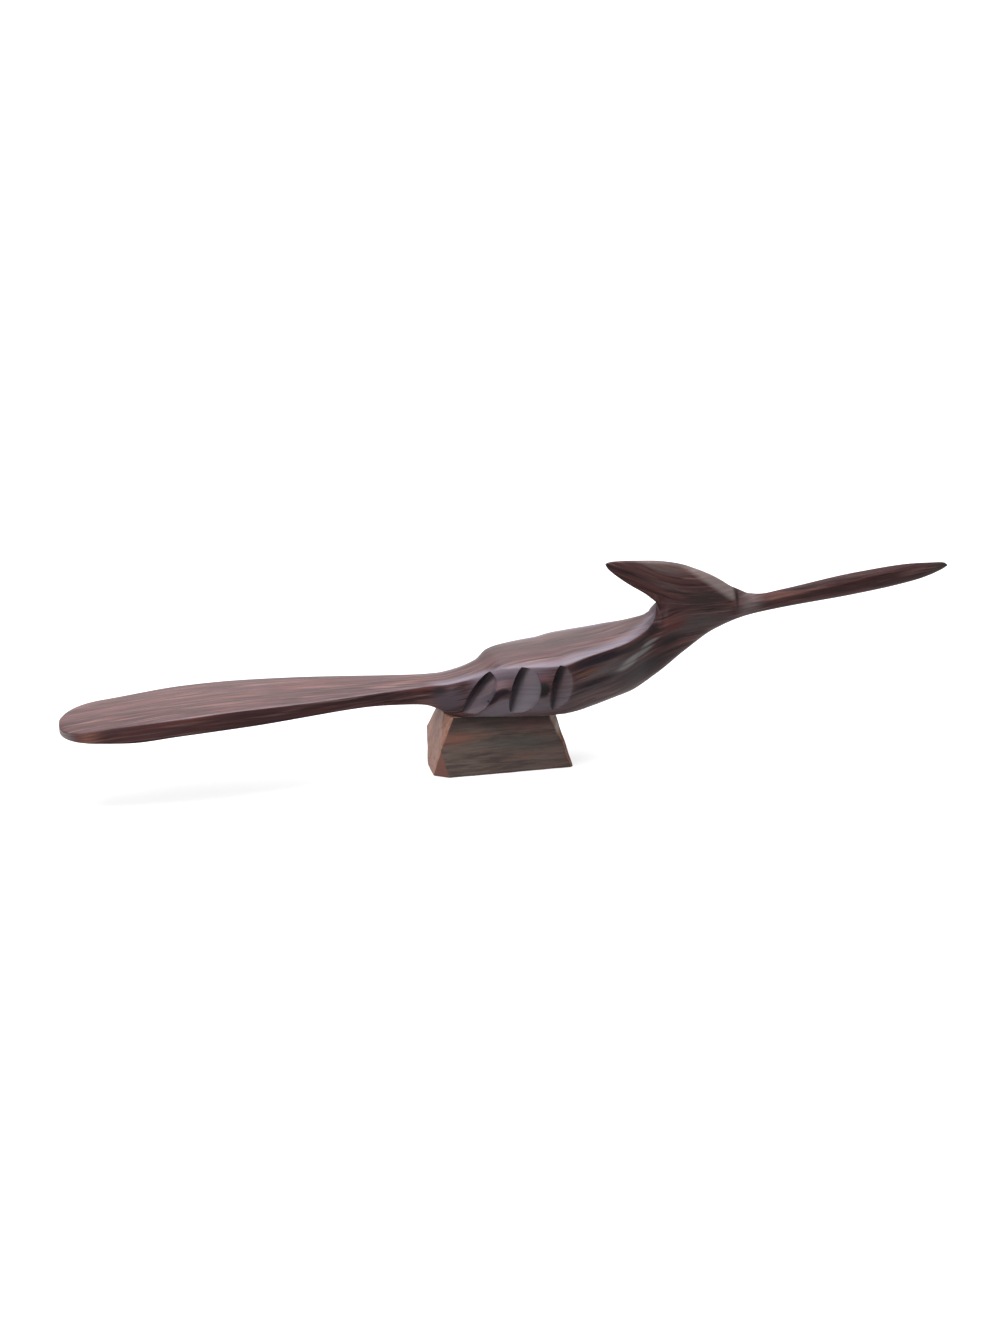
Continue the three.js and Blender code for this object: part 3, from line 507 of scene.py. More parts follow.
CROWN_POWER, SIDE_START_LIMIT = 1.4, 0.5
CROWN_COLUMNS, SIDE_COLUMNS = 14, 14


def half_rings(*strips):
    """Half rings from strips of (y, z) columns, each strip of shape rows by columns."""
    return np.concatenate([np.stack(np.broadcast_arrays(*strip), -1) for strip in strips], 1)


def bent(first, corner, last, steps):
    """A parabola from one strip's last column to the next strip's first one, drawn towards the
    corner."""
    t = np.linspace(0, 1, steps + 2)[1:-1]
    ends = zip(first, corner, last)
    return tuple((1 - t) ** 2 * a + 2 * t * (1 - t) * c + t**2 * b for a, c, b in ends)


def flank_rise(x):
    """The level where the flank's curve starts: the arris, or at the nape a straighter line below
    the notch."""
    return np.where(x < CHEEK, np.minimum(arris_rise(x), neck_rise(x)), arris_rise(x))


def body_half_width(x):
    """The half width, drawn in along a superellipse over the tail's rounded end."""
    into = np.clip((TAIL_END + TAIL_END_ROUND - x) / TAIL_END_ROUND, 0, 1)
    return half_width(x) * (1 - into**TAIL_END_POWER) ** (1 / TAIL_END_POWER)


def flank_half_width(x, z):
    """Half width of the uncut flank at a height: a superellipse down to the keel, drawn in towards
    the arris by the ridge share."""
    power, keel = squareness(x), keel_rise(x)
    below_arris = np.clip((arris_rise(x) - z) / (arris_rise(x) - keel), 0, 1)
    down = np.clip((flank_rise(x) - z) / (flank_rise(x) - keel), 0, 1)
    drawn_in = 1 - (1 - ridge_share(x)) * (1 - below_arris) ** flank_flare(x)
    return body_half_width(x) * drawn_in * (1 - down**power) ** (1 / power)


def flank(x, start):
    """From a little below the arris to the keel, in steps that close up where the flank turns
    under."""
    rise, power = arris_rise(x), squareness(x)
    depth = rise - keel_rise(x)
    angle = np.arcsin((start / depth) ** (power / 2))
    angle = angle + (np.pi / 2 - angle) * np.linspace(0, 1, FLANK_COLUMNS)
    z = rise - depth * np.sin(angle) ** (2 / power)
    z[:, -1:] = keel_rise(x)
    return flank_half_width(x, z), z


def body_half(x):
    """From the middle of the back to the keel: a flat cubic over the back, a small round and the
    flank."""
    x = x[:, None]
    ridge, rise = body_half_width(x) * ridge_share(x), arris_rise(x)
    soft = np.minimum(arris_round(x), ROUND_SHARE * ridge)
    y = (ridge - soft) * np.linspace(0, 1, BACK_COLUMNS)
    back = y, rise + back_crown(x) * (1 - (y / np.maximum(ridge, TINY)) ** BACK_POWER)
    side = flank(x, soft)
    ends = [tuple(c[:, -1:] for c in back), (ridge, rise), tuple(c[:, :1] for c in side)]
    return half_rings(back, bent(*ends, ARRIS_COLUMNS), side)


def head_side(x, foot_half, foot_rise):
    """From the middle of the head's top to a foot line: a blunt roof to the brow, a small round, a
    side that swells to its full half width at a level of its own, and a parabola from there to the
    foot."""
    top, brow_half, full = head_top(x), top_half_width(x), side_half_width(x)
    brow_rise = top - head_bevel(x)
    level = foot_rise + side_level(x) * (brow_rise - foot_rise)
    soft = np.minimum(brow_round(x), ROUND_SHARE * brow_half)
    y = (brow_half - soft) * np.linspace(0, 1, CROWN_COLUMNS)
    crown = y, brow_rise + head_bevel(x) * (1 - (y / brow_half) ** CROWN_POWER)
    start = np.minimum(soft / (brow_rise - level), SIDE_START_LIMIT)
    s = start + (1 - start) * np.linspace(0, 1, SIDE_COLUMNS)
    swell = 1 - (1 - s) ** 2
    upper = brow_half + (full - brow_half) * swell, brow_rise + (level - brow_rise) * s
    t = np.linspace(0, 1, SIDE_COLUMNS + 1)[1:]
    lower = full + (foot_half - full) * t**2, level + (foot_rise - level) * t
    brow = brow_half, brow_rise
    ends = [tuple(c[:, -1:] for c in crown), brow, tuple(c[:, :1] for c in upper)]
    return [crown, bent(*ends, ARRIS_COLUMNS), upper, lower]


def crest_half(x):
    """The head's side down to the crest's lower edge, and the sawn underside in to the middle."""
    x = x[:, None]
    edge, under = crest_edge(x), crest_under(x)
    inward = np.linspace(1, 0, BACK_COLUMNS)
    return half_rings(*head_side(x, edge, under), (edge * inward, under))


def front_half(x):
    """The head's side down to the jaw line, and the throat's flank from there to the keel."""
    x = x[:, None]
    jaw_half = half_width(x) * ridge_share(x)
    return half_rings(*head_side(x, jaw_half, arris_rise(x)), flank(x, np.zeros_like(x)))


def mirrored_rings(x, half):
    """Whole rings from half rings: out along one side and back along the other."""
    other = half[:, -2:0:-1] * np.array([-1, 1])
    across = np.concatenate([half, other], 1)
    along = np.broadcast_to(x[:, None, None], across[..., :1].shape)
    return np.concatenate([along, across], -1)


def drawn_to_point(rings, at):
    """The rings with one more in front or behind, shrunk to the middle of the outermost one."""
    point = np.broadcast_to(rings[at].mean(0), rings[at].shape)[None]
    return np.concatenate([point, rings] if at == 0 else [rings, point])


def spaced(start, end, step):
    """Even places from start to end, as near to the step as a whole number of them allows."""
    return np.linspace(start, end, int(round((end - start) / step)) + 1)


TAIL_TURN_STEPS, TAIL_STEP, BODY_STEP, NAPE_STEP = 25, 1.8, 0.9, 0.25
CREST_STEPS, CREST_CROWDING = 46, 1.3
NECK_FRONT, NECK_STEP, HEAD_STEP, BEAK_STEP = 71.0, 0.3, 0.6, 1.25
BIRD_SHARP_DEGREES = 40
tail_turn = np.linspace(0, np.pi / 2, TAIL_TURN_STEPS)
body_x = np.concatenate([
    TAIL_END + TAIL_END_ROUND * (1 - np.cos(tail_turn) ** (2 / TAIL_END_POWER)),
    spaced(TAIL_END + TAIL_END_ROUND, TAIL_ROOT, TAIL_STEP)[1:],
    spaced(TAIL_ROOT, NAPE, BODY_STEP)[1:], spaced(NAPE, NOTCH, NAPE_STEP)[1:],
])
crest_x = CREST_TIP + (NOTCH - CREST_TIP) * np.linspace(0, 1, CREST_STEPS) ** CREST_CROWDING
front_x = np.concatenate([
    spaced(NOTCH, NECK_FRONT, NECK_STEP), spaced(NECK_FRONT, BEAK_ROOT, HEAD_STEP)[1:],
    spaced(BEAK_ROOT, BEAK_TIP, BEAK_STEP)[1:],
])
shells = [
    mirrored_rings(body_x, body_half(body_x)),
    drawn_to_point(mirrored_rings(crest_x, crest_half(crest_x)), 0),
    drawn_to_point(mirrored_rings(front_x, front_half(front_x)), -1),
]
points = np.concatenate([shell.reshape(-1, 3) for shell in shells])
points[:, 2] = np.maximum(points[:, 2], 0)
points += (SEAT_MARK_AHEAD, 0, PEDESTAL_HEIGHT)
starts = np.cumsum([0] + [shell.shape[0] * shell.shape[1] for shell in shells])
grids = [closed_grid(*shell.shape[:2]) + start for shell, start in zip(shells, starts)]
bird = make_piece("roadrunner_carving", points, np.concatenate(grids))

# Each gouge also gives the share of painted sheen on its floor (paleness) and the reach of the
# painted shadow beside its wall (shade).
GOUGES = [
    dict(x=-12.0, rise=9.2, lean_degrees=37, splay=-0.14, length=19.4, width=5.9, wall=2.8,
         paleness=0.75, shade=2.5),
    dict(x=2.3, rise=11.3, lean_degrees=13, splay=0.08, length=19.6, width=8.8, wall=2.6,
         paleness=1.15, shade=2.5),
    dict(x=16.9, rise=11.9, lean_degrees=8, splay=0.1, length=19.6, width=7.6, wall=2.5,
         paleness=0.5, shade=2.3),
]
GOUGE_SLOPE, GOUGE_CLEAR = 0.49, 4.0
GOUGE_ROWS, GOUGE_COLUMNS = 49, 9
WALL_FALL = (0, 0.08, 0.35, 0.7)


def feather_gouge(side, gouge):
    """One feather's cutter: seen from the side a leaf, bowed a little behind its valley and far
    ahead of it. A steep wall falls to the valley from behind, a long floor rises evenly from the
    valley to the bow ahead, and the outer face stands clear of the flank."""
    x, rise, width, wall = gouge["x"], gouge["rise"], gouge["width"], gouge["wall"]
    turn = np.linspace(-np.pi / 2, np.pi / 2, GOUGE_ROWS)[:, None]
    bow = np.cos(turn)
    bow[[0, -1]] = 0
    depth = -GOUGE_SLOPE * width * bow
    down, ramp = np.array(WALL_FALL), np.linspace(0, 1, GOUGE_COLUMNS)
    ahead = bow * np.concatenate([-wall * (1 - down), width * ramp, [width, -wall]])
    clear = np.full((GOUGE_ROWS, 2), GOUGE_CLEAR)
    across = np.concatenate([depth * down, depth * (1 - ramp), clear], 1)
    up = gouge["length"] / 2 * np.sin(turn)
    lean = np.radians(gouge["lean_degrees"])
    points = np.stack(np.broadcast_arrays(
        x + SEAT_MARK_AHEAD + ahead * np.cos(lean) + up * np.sin(lean),
        side * (flank_half_width(x, rise) + gouge["splay"] * up + across),
        PEDESTAL_HEIGHT + rise - ahead * np.sin(lean) + up * np.cos(lean),
    ), -1)
    return make_piece("gouge", points.reshape(-1, 3), closed_grid(*points.shape[:2]))


for gouge in GOUGES:
    for side in (-1, 1):
        cut_from(bird, feather_gouge(side, gouge))
for place in DOWEL_PLACES:
    cut_from(bird, dowel_hole(place))
smooth_faces(bird, BIRD_SHARP_DEGREES)

CREST_MARGIN, BACK_MARGIN = 0.4, 0.1
HEAD_BLEND, FLANK_GRAIN_START, SIDE_GRAIN_APART = 8.0, 40.0, 10.0
neck_grain = fair_line((BREAST, 26.2), (NAPE, 30.2), (68.0, 32.8), (CHEEK, 34.1), (THROAT, 34.5))
head_grain = fair_line(
    (CREST_TIP, 46.0), (54.0, 41.5), (NOTCH, 37.4), (CHEEK, 35.2), (THROAT, 34.5),
    (HEAD_FRONT, 34.3), (BEAK_ROOT, 35.2), (BEAK_BROAD, 41.3), (BEAK_TIP, 46.4),
)
spots = np.empty(3 * len(bird.data.vertices))
bird.data.vertices.foreach_get("co", spots)
x, y, z = (spots.reshape(-1, 3) / MM - (SEAT_MARK_AHEAD, 0, PEDESTAL_HEIGHT)).T
on_crest = (x < NOTCH) & (x > CREST_TIP) & (z > crest_under(x) - CREST_MARGIN)
on_back = (x < NOTCH) & (z > arris_rise(x) - BACK_MARGIN) & ~on_crest
in_head = np.clip((z - arris_rise(np.maximum(x, NOTCH))) / HEAD_BLEND + 0.5, 0, 1)
neck_or_head = np.where(x < THROAT, neck_grain(x), head_grain(x))
flank_grain = np.where(x < BREAST, arris_rise(x), neck_or_head)
level = flank_grain * (1 - in_head) + head_grain(x) * in_head
across = np.where(on_back, y, FLANK_GRAIN_START + level - z)
grain = np.stack([x, across, np.where(on_back, 0, SIDE_GRAIN_APART * np.sign(y))], -1)
grain_field = bird.data.attributes.new("grain", "FLOAT_VECTOR", "POINT")
grain_field.data.foreach_set("vector", (grain * MM).ravel())

ARRIS_DRAWN, LEAST_ROUND, SEAT_MARGIN = 0.8, 0.1, 0.1
GOUGE_FLOOR_DEPTH, INSIDE_FROM = 0.3, 0.1
# Painted shadow in each gouge: dark beside its steep wall, widest and darkest near the top, and
# fading across the floor.
RECESS_FALL, RECESS_MIDDLE, RECESS_FADE, RECESS_TAPER = 2.4, 0.8, 18.0, 0.8
up_arris = np.clip(1 - (arris_rise(x) - z) / np.maximum(arris_round(x), LEAST_ROUND), 0, 1)
uncut = flank_half_width(x, z) - ARRIS_DRAWN * arris_round(x) * up_arris
off_flank = on_back | (z < SEAT_MARGIN) | (x < WAIST) | (x > FLANK)
cut_depth = np.where(off_flank, 0, uncut - np.abs(y))
recess_shade, gouge_sheen = np.zeros_like(x), np.zeros_like(x)
for gouge in GOUGES:
    lean, above = np.radians(gouge["lean_degrees"]), z - gouge["rise"]
    ahead = (x - gouge["x"]) * np.cos(lean) - above * np.sin(lean)
    inside = (cut_depth > INSIDE_FROM) & (ahead > -gouge["wall"]) & (ahead < gouge["width"])
    shade_reach = gouge["shade"] * (1 + RECESS_TAPER * above / gouge["length"])
    shade = np.clip(RECESS_FALL * (1 - ahead / shade_reach), 0, 1)
    recess_shade = np.where(inside, np.clip(RECESS_MIDDLE + above / RECESS_FADE, 0, 1) * shade, recess_shade)
    # Painted sheen: a lavender grey over each gouge's floor, as strong as the gouge's paleness.
    pale = gouge["paleness"] * np.clip(cut_depth / GOUGE_FLOOR_DEPTH, 0, 1)
    gouge_sheen = np.where(inside, pale, gouge_sheen)

# Painted sheen and highlight: a lavender grey band along the back's arrises, a thin painted
# highlight along the tail's arrises, and on the wing a grey that fades down from the arris.
TAIL_EDGE_SHEEN, TAIL_EDGE_WIDTH = 0.6, 1.4
WING_SHEEN, WING_SHEEN_DROP = 0.9, 8.0
along_back = fair_line(
    (RUMP, 0), (WAIST, 0.8), (WING, 0.9), (WING_FRONT, 1), (BREAST, 1), (NOTCH, 0.7),
)
along_tail = fair_line(
    (TAIL_SQUARE, 0), (TAIL_BLADE, TAIL_EDGE_SHEEN), (RUMP, TAIL_EDGE_SHEEN), (WAIST, 0),
)
along_wing = fair_line((HIP, 0), (SHOULDER, WING_SHEEN), (WING_REAR, WING_SHEEN), (WING, 0))
sheen_width = fair_line(
    (RUMP, 6.0), (HIP, 5.5), (SHOULDER, 4.2), (HEEL, 3.4), (WING_REAR, 4.6), (12.0, 8.0),
    (WING_FRONT, 8.0),
)
from_arris = body_half_width(x) * ridge_share(x) - np.abs(y)
back_edge = along_back(x) * np.clip(1 - from_arris / sheen_width(x), 0, 1)
tail_edge = along_tail(x) * np.clip(1 - from_arris / TAIL_EDGE_WIDTH, 0, 1)
wing_edge = along_wing(x) * np.clip(1 - (arris_rise(x) - z) / WING_SHEEN_DROP, 0, 1)
on_wing = ~on_back & (x < FLANK) & (cut_depth < GOUGE_FLOOR_DEPTH)
arris_sheen = np.where(on_back, np.maximum(back_edge, tail_edge), np.where(on_wing, wing_edge, 0))
# Painted light kept per vertex: sheen on the gouges' floors, shadow beside their walls and sheen
# along the arrises.
sheen_and_shade_field = bird.data.attributes.new("sheen_and_shade", "FLOAT_VECTOR", "POINT")
sheen_and_shade_field.data.foreach_set("vector", np.stack([gouge_sheen, recess_shade, arris_sheen], -1).ravel())

# Painted highlight: a pale tan over the brow's bevel from the cheek to the head's front, soft along
# its lower border.
FOREHEAD_HIGHLIGHT_SHARE, FOREHEAD_SOFT = 0.66, 2.2
along_forehead = fair_line(
    (69.0, 0), (82.0, FOREHEAD_HIGHLIGHT_SHARE), (95.0, FOREHEAD_HIGHLIGHT_SHARE), (HEAD_FRONT, 0),
)
over_brow = np.clip((z - head_top(x) + head_bevel(x)) / FOREHEAD_SOFT + 0.5, 0, 1)
forehead_highlight_field = bird.data.attributes.new("forehead_highlight", "FLOAT", "POINT")
forehead_highlight_field.data.foreach_set("value", np.where(x > NOTCH, along_forehead(x) * over_brow, 0))

# Soft marks on the near flank, placed along the grain and by their drop below its line: tones of
# the wood, and painted shade and painted highlights where noted.
FLANK_STAINS_SHADE_AND_HIGHLIGHTS = [
    # Painted shade: the tail's upright side darkened along its upper part.
    dict(x=-98.0, drop=3.5, reach=(72, 9.0), amount=0.5, colour=(0.014, 0.005, 0.006)),
    dict(x=-151.5, drop=2.0, reach=(6.5, 5.0), amount=0.7, colour=(0.130, 0.058, 0.044)),
    dict(x=-160.0, drop=1.5, reach=(5.5, 6.0), amount=0.8, colour=(0.110, 0.092, 0.094)),
    dict(x=-22.0, drop=5.5, reach=(10, 7.0), amount=1.2, colour=(0.045, 0.034, 0.040)),
    dict(x=-25.5, drop=1.8, reach=(5, 2.0), amount=1.0, colour=(0.020, 0.014, 0.016)),
    dict(x=20.0, drop=15.0, reach=(44, 9.0), amount=0.7, colour=(0.060, 0.046, 0.050)),
    dict(x=-3.0, drop=15.0, reach=(15, 5.5), amount=1.4, colour=(0.074, 0.060, 0.068)),
    dict(x=11.0, drop=14.8, reach=(11, 4.6), amount=1.3, colour=(0.070, 0.056, 0.062)),
    dict(x=40.0, drop=8.5, reach=(24, 9.0), amount=0.8, colour=(0.064, 0.052, 0.053)),
    # Painted shade low on the breast, where it turns under.
    dict(x=58.0, drop=16.0, reach=(24, 8.0), amount=0.9, colour=(0.018, 0.014, 0.015)),
    dict(x=-4.0, drop=6.0, reach=(6.5, 3.4), amount=1.2, colour=(0.120, 0.068, 0.072)),
    # Painted shadow: two dark patches between the first and second gouges, under the wing's lower
    # edge.
    dict(x=-6.9, drop=9.8, reach=(4.2, 2.2), amount=2.0, colour=(0.009, 0.005, 0.007)),
    dict(x=-3.2, drop=8.4, reach=(4.2, 2.0), amount=2.0, colour=(0.009, 0.005, 0.007)),
    dict(x=11.6, drop=4.2, reach=(4.6, 1.8), amount=1.2, colour=(0.085, 0.028, 0.030)),
    # Painted shadow between the second and third gouges, under the wing's lower edge.
    dict(x=11.4, drop=8.6, reach=(4.0, 4.2), amount=2.4, colour=(0.010, 0.008, 0.007)),
    dict(x=34.0, drop=2.4, reach=(18, 2.6), amount=1.4, colour=(0.013, 0.009, 0.013)),
    dict(x=29.5, drop=5.9, reach=(8, 1.2), amount=1.0, colour=(0.100, 0.040, 0.026)),
    dict(x=32.0, drop=11.0, reach=(17, 2.4), amount=1.0, colour=(0.010, 0.006, 0.008)),
    dict(x=52.5, drop=3.6, reach=(12, 3.0), amount=1.0, colour=(0.011, 0.008, 0.009)),
    dict(x=60.0, drop=1.5, reach=(7, 3.0), amount=1.2, colour=(0.016, 0.010, 0.011)),
    # Painted highlight: four pale grey marks making a diagonal streak across the breast.
    dict(x=46.5, drop=9.4, reach=(7, 1.8), amount=1.4, colour=(0.122, 0.114, 0.112)),
    dict(x=49.5, drop=7.6, reach=(7, 1.6), amount=1.4, colour=(0.126, 0.118, 0.116)),
    dict(x=55.0, drop=7.8, reach=(7, 1.5), amount=1.3, colour=(0.102, 0.096, 0.094)),
    dict(x=58.0, drop=5.8, reach=(6, 1.3), amount=1.3, colour=(0.108, 0.100, 0.098)),
    dict(x=80.0, drop=4.5, reach=(22, 8.0), amount=0.9, colour=(0.044, 0.034, 0.034)),
    dict(x=67.5, drop=9.0, reach=(9, 3.4), amount=1.0, colour=(0.016, 0.011, 0.013)),
    dict(x=69.0, drop=3.2, reach=(7.5, 2.8), amount=1.0, colour=(0.058, 0.019, 0.018)),
    dict(x=58.0, drop=-9.0, reach=(22, 11.0), amount=0.7, colour=(0.040, 0.021, 0.020)),
    dict(x=82.0, drop=-5.5, reach=(20, 8.0), amount=1.0, colour=(0.026, 0.017, 0.017)),
    dict(x=66.0, drop=-8.4, reach=(9, 1.8), amount=0.6, colour=(0.070, 0.050, 0.048)),
    dict(x=64.0, drop=-15.2, reach=(20, 4.0), amount=1.2, colour=(0.064, 0.044, 0.041)),
    dict(x=103.0, drop=-1.0, reach=(8.5, 10.0), amount=0.9, colour=(0.105, 0.076, 0.076)),
    # Painted shade in the groove where the head steps down to the beak.
    dict(x=97.0, drop=-4.5, reach=(1.6, 6.0), amount=0.9, colour=(0.014, 0.009, 0.009)),
    dict(x=150.0, drop=1.0, reach=(50, 6.0), amount=0.8, colour=(0.026, 0.012, 0.012)),
    dict(x=117.0, drop=-0.6, reach=(13, 1.6), amount=0.7, colour=(0.085, 0.038, 0.028)),
    dict(x=176.0, drop=-0.5, reach=(10, 1.8), amount=0.8, colour=(0.076, 0.044, 0.040)),
    dict(x=189.0, drop=-0.5, reach=(9, 4.0), amount=0.9, colour=(0.026, 0.022, 0.019)),
]
BACK_STAINS_AND_SHADE = [
    dict(x=22.0, y=7.0, reach=(50, 20), amount=0.36, colour=(0.036, 0.029, 0.027)),
    dict(x=-110.0, y=0.0, reach=(64, 30), amount=0.1, colour=(0.180, 0.100, 0.088)),
    # Painted shade: a dark sliver on the far shoulder, where a shaded hollow shows past the back.
    dict(x=-2.5, y=15.0, reach=(9.0, 6.5), amount=2.2, colour=(0.022, 0.018, 0.016)),
]
FAR_SHADE_MARKS = [
    # Painted shade: the same dark sliver carried onto the far flank.
    dict(x=-2.5, drop=0.0, reach=(9.0, 2.4), amount=1.8, colour=(0.022, 0.018, 0.016)),
]


def marked(wire, place, lines, tone, marks, side):
    """A colour with soft marks laid over it, on one flank or, where the side is zero, on the back:
    tones of the wood, painted shade and painted highlights. The lines of the grain, a field about
    one, thin and thicken each mark."""
    for mark in marks:
        across = FLANK_GRAIN_START + mark["drop"] if side else mark["y"]
        middle = mark["x"], across, side * SIDE_GRAIN_APART
        shape = soft_mark(wire, place, middle, (*mark["reach"], SIDE_GRAIN_APART))
        tone = mix_colour(wire, shape * mark["amount"] * lines, tone, mark["colour"])
    return tone


POLISHED_IOR = 1.14
FIBRE = dict(scale=2000, detail=3, lengthen=22)
STREAKS = dict(scale=700, detail=4, lengthen=22, distortion=0.4, turn=0.03)
ZONES = dict(scale=110, detail=2, lengthen=7, distortion=0.3, turn=0.04)
RED_FIGURE = dict(
    scale=480, detail=3, lengthen=18, distortion=0.4, turn=-0.02, offset=(0.13, 0.4, 0.2),
)
PINK_FIGURE = dict(
    scale=800, detail=4, lengthen=22, distortion=0.3, turn=0.02, offset=(0.4, 0.1, 0.6),
)
STREAK_SHARE, FIBRE_SHARE, ZONE_SHARE = 0.35, 0.4, 0.25
HEART_DARK, HEART_BROWN, HEART_BOUNDS = (0.011, 0.006, 0.006), (0.056, 0.026, 0.027), (0.36, 0.62)
HEART_RED, RED_SHARE = (0.094, 0.033, 0.028), 0.6
HEART_PINK, PINK_SHARE = (0.18, 0.100, 0.088), 0.45
FIGURE_BOUNDS = (0.50, 0.70)
LINE_STREAKS, LINE_FIBRE, LINE_BASE = 2, 3, 1.5
FOREHEAD_HIGHLIGHT_TAN, FOREHEAD_BASE, FOREHEAD_STREAKS = (0.126, 0.101, 0.095), 0.4, 1.2
# Greys of the painted sheen along the arrises and on the gouges' floors.
ARRIS_SHEEN_GREY, GOUGE_SHEEN_GREY = (0.126, 0.112, 0.138), (0.115, 0.097, 0.110)
SHEEN_BASE, SHEEN_STREAKS = 0.35, 0.7
# Colour of the painted shadow in the gouges.
RECESS_SHADE_DARK, RECESS_SHADE_SHARE = (0.012, 0.008, 0.010), 0.9
POLISHED_SMOOTHEST, POLISHED_ROUGHENING, STREAK_HEIGHT = 0.34, 0.12, 0.5
POLISHED_BUMP = dict(strength=0.12, distance=0.0003)
polished_wood, wire, shader = new_finish("polished_wood", IOR=POLISHED_IOR)
along_grain = wire.add("ShaderNodeAttribute", {"attribute_name": "grain"}, output="Vector")
fibre = stretched_noise(wire, along_grain, **FIBRE)
streaks = stretched_noise(wire, along_grain, **STREAKS)
zones = stretched_noise(wire, along_grain, **ZONES)
red = stretched_noise(wire, along_grain, **RED_FIGURE)
pink = stretched_noise(wire, along_grain, **PINK_FIGURE)
tone = streaks * STREAK_SHARE + fibre * FIBRE_SHARE + zones * ZONE_SHARE
tone = mix_colour(wire, grade(wire, tone, *HEART_BOUNDS), HEART_DARK, HEART_BROWN)
tone = mix_colour(wire, grade(wire, red, *FIGURE_BOUNDS) * RED_SHARE, tone, HEART_RED)
tone = mix_colour(wire, grade(wire, pink, *FIGURE_BOUNDS) * PINK_SHARE, tone, HEART_PINK)
lines = streaks * LINE_STREAKS + fibre * LINE_FIBRE - LINE_BASE
tone = marked(wire, along_grain, lines, tone, FLANK_STAINS_SHADE_AND_HIGHLIGHTS, -1)
# Painted highlight on the brow, broken up by the streaks.
forehead_highlight = wire.add("ShaderNodeAttribute", {"attribute_name": "forehead_highlight"}, output="Fac")
forehead_highlight = forehead_highlight * (FOREHEAD_BASE + FOREHEAD_STREAKS * streaks)
tone = mix_colour(wire, forehead_highlight, tone, FOREHEAD_HIGHLIGHT_TAN)
# Read back the painted sheen and shadow.
sheen_and_shade = wire.add("ShaderNodeAttribute", {"attribute_name": "sheen_and_shade"}, output="Vector")
gouge_sheen, recess_shade, arris_sheen = (
    wire.add("ShaderNodeSeparateXYZ", inputs={0: sheen_and_shade}, output=axis) for axis in "XYZ"
)
# Streaks break up the painted sheen.
lightening = SHEEN_BASE + SHEEN_STREAKS * streaks
tone = mix_colour(wire, arris_sheen * lightening, tone, ARRIS_SHEEN_GREY)
tone = marked(wire, along_grain, lines, tone, BACK_STAINS_AND_SHADE, 0)
tone = marked(wire, along_grain, lines, tone, FAR_SHADE_MARKS, 1)
# Painted sheen on the gouges' floors.
tone = mix_colour(wire, gouge_sheen * lightening, tone, GOUGE_SHEEN_GREY)
# Painted shadow beside the gouges' walls.
tone = mix_colour(wire, recess_shade * RECESS_SHADE_SHARE, tone, RECESS_SHADE_DARK)
feed(
    wire, shader, tone, POLISHED_SMOOTHEST + fibre * POLISHED_ROUGHENING,
    fibre + streaks * STREAK_HEIGHT, **POLISHED_BUMP,
)
bird.data.materials.append(polished_wood)
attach(bird, "root")
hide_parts("bird_carving")


# Studio: a white paper sweep, a wide soft light overhead, dim fills and the photograph's camera.
# The sweep lies flat under the block, turns up behind it in a wide curve and carries on as the
# backdrop. Its sizes and places are in metres.
SWEEP_HALF_WIDTH, SWEEP_FRONT, SWEEP_BEND, SWEEP_RADIUS, SWEEP_TOP = 3.0, -2.0, 0.9, 0.8, 2.6
SWEEP_STEPS = 24
turn = np.linspace(0, np.pi / 2, SWEEP_STEPS)
curve = np.stack([np.sin(turn), 1 - np.cos(turn)], -1) * SWEEP_RADIUS + (SWEEP_BEND, 0)
profile = np.concatenate([
    [(SWEEP_FRONT, 0)], curve, [(SWEEP_BEND + SWEEP_RADIUS, SWEEP_TOP)],
])
sweep_points = np.array([(side * SWEEP_HALF_WIDTH, y, z) for side in (-1, 1) for y, z in profile])
first = np.arange(len(profile) - 1)
across = first + len(profile)
sweep_mesh = bpy.data.meshes.new("paper_sweep")
sweep_mesh.from_pydata(
    sweep_points.tolist(), [], np.stack([across, across + 1, first + 1, first], -1).tolist()
)
sweep_mesh.shade_smooth()
sweep = bpy.data.objects.new("paper_sweep", sweep_mesh)
bpy.context.scene.collection.objects.link(sweep)
paper, wire, shader = new_finish(
    "white_paper", Base_Color=(0.20, 0.20, 0.20, 1), Roughness=0.9, Emission_Color=(1, 1, 1, 1),
    Emission_Strength=0.77,
)
sweep.data.materials.append(paper)


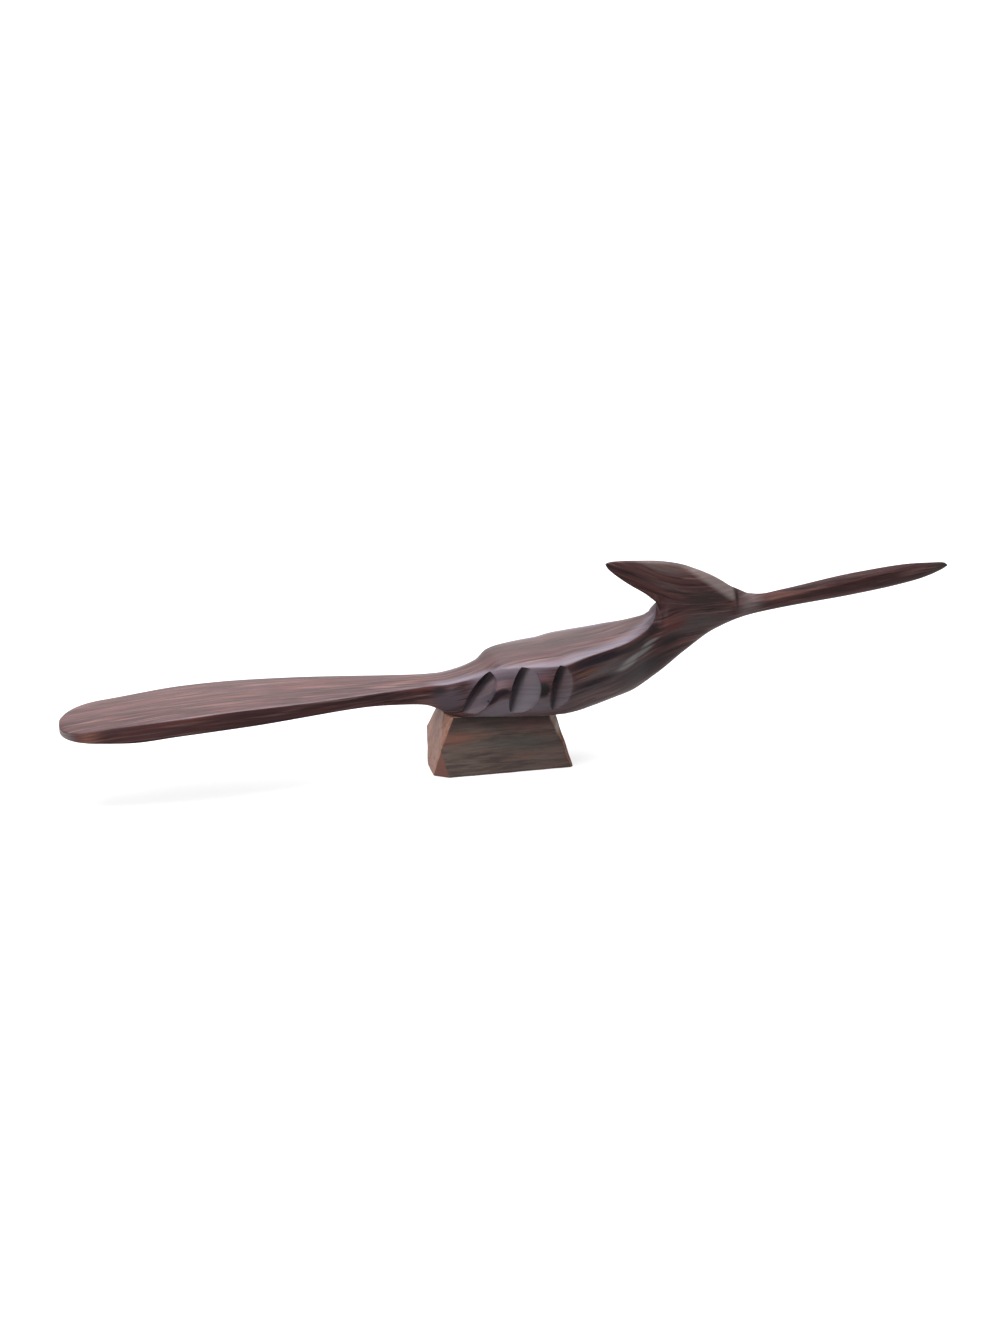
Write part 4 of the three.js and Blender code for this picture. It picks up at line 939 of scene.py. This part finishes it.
def facing(place, target):
    """The turn that points an object's own -Z from a place to a target."""
    return (Vector(target) - Vector(place)).to_track_quat("-Z", "Y").to_euler()


WHITE, COOL, COOLER = (1, 1, 1), (0.94, 0.96, 1), (0.94, 0.95, 1)
LIGHTS = [
    dict(name="overhead", place=(-0.12, 0.72, 1.24), target=(0, 0, 0.03), size=1.0, power=41,
         colour=COOLER),
    dict(name="left_window", place=(-0.9, -0.54, 0.58), target=(0, 0, 0.04), size=0.7, power=12.3,
         colour=COOL),
    dict(name="right_window", place=(1.15, -0.1, 0.6), target=(0.08, 0, 0.06), size=0.5, power=3,
         colour=WHITE),
    dict(name="backdrop", place=(0, 0.2, 1.9), target=(0.15, 1.7, 0.5), size=1.6, power=85,
         colour=WHITE),
]
AMBIENT_STRENGTH = 0.2
for light in LIGHTS:
    lamp = bpy.data.lights.new(light["name"], "AREA")
    lamp.shape, lamp.size = "SQUARE", light["size"]
    lamp.energy, lamp.color = light["power"], light["colour"]
    fitting = bpy.data.objects.new(light["name"], lamp)
    fitting.location = light["place"]
    fitting.rotation_euler = facing(light["place"], light["target"])
    bpy.context.scene.collection.objects.link(fitting)
world = bpy.data.worlds.new("studio")
world.use_nodes = True
ambient = world.node_tree.nodes["Background"]
ambient.inputs["Color"].default_value = (*WHITE, 1)
ambient.inputs["Strength"].default_value = AMBIENT_STRENGTH
bpy.context.scene.world = world
bpy.context.scene.view_settings.view_transform = "Standard"

CAMERA_PLACE, CAMERA_TARGET = (-0.1062, -0.4347, 0.1660), (0.00218, 0, 0.03758)
FOCAL_PIXELS, PHOTO_HEIGHT, SENSOR = 1200, 1333, 36
camera_data = bpy.data.cameras.new("camera")
camera_data.sensor_width = SENSOR
camera_data.lens = SENSOR * FOCAL_PIXELS / PHOTO_HEIGHT
camera = bpy.data.objects.new("camera", camera_data)
camera.location = CAMERA_PLACE
camera.rotation_euler = facing(CAMERA_PLACE, CAMERA_TARGET)
bpy.context.scene.collection.objects.link(camera)
bpy.context.scene.camera = camera
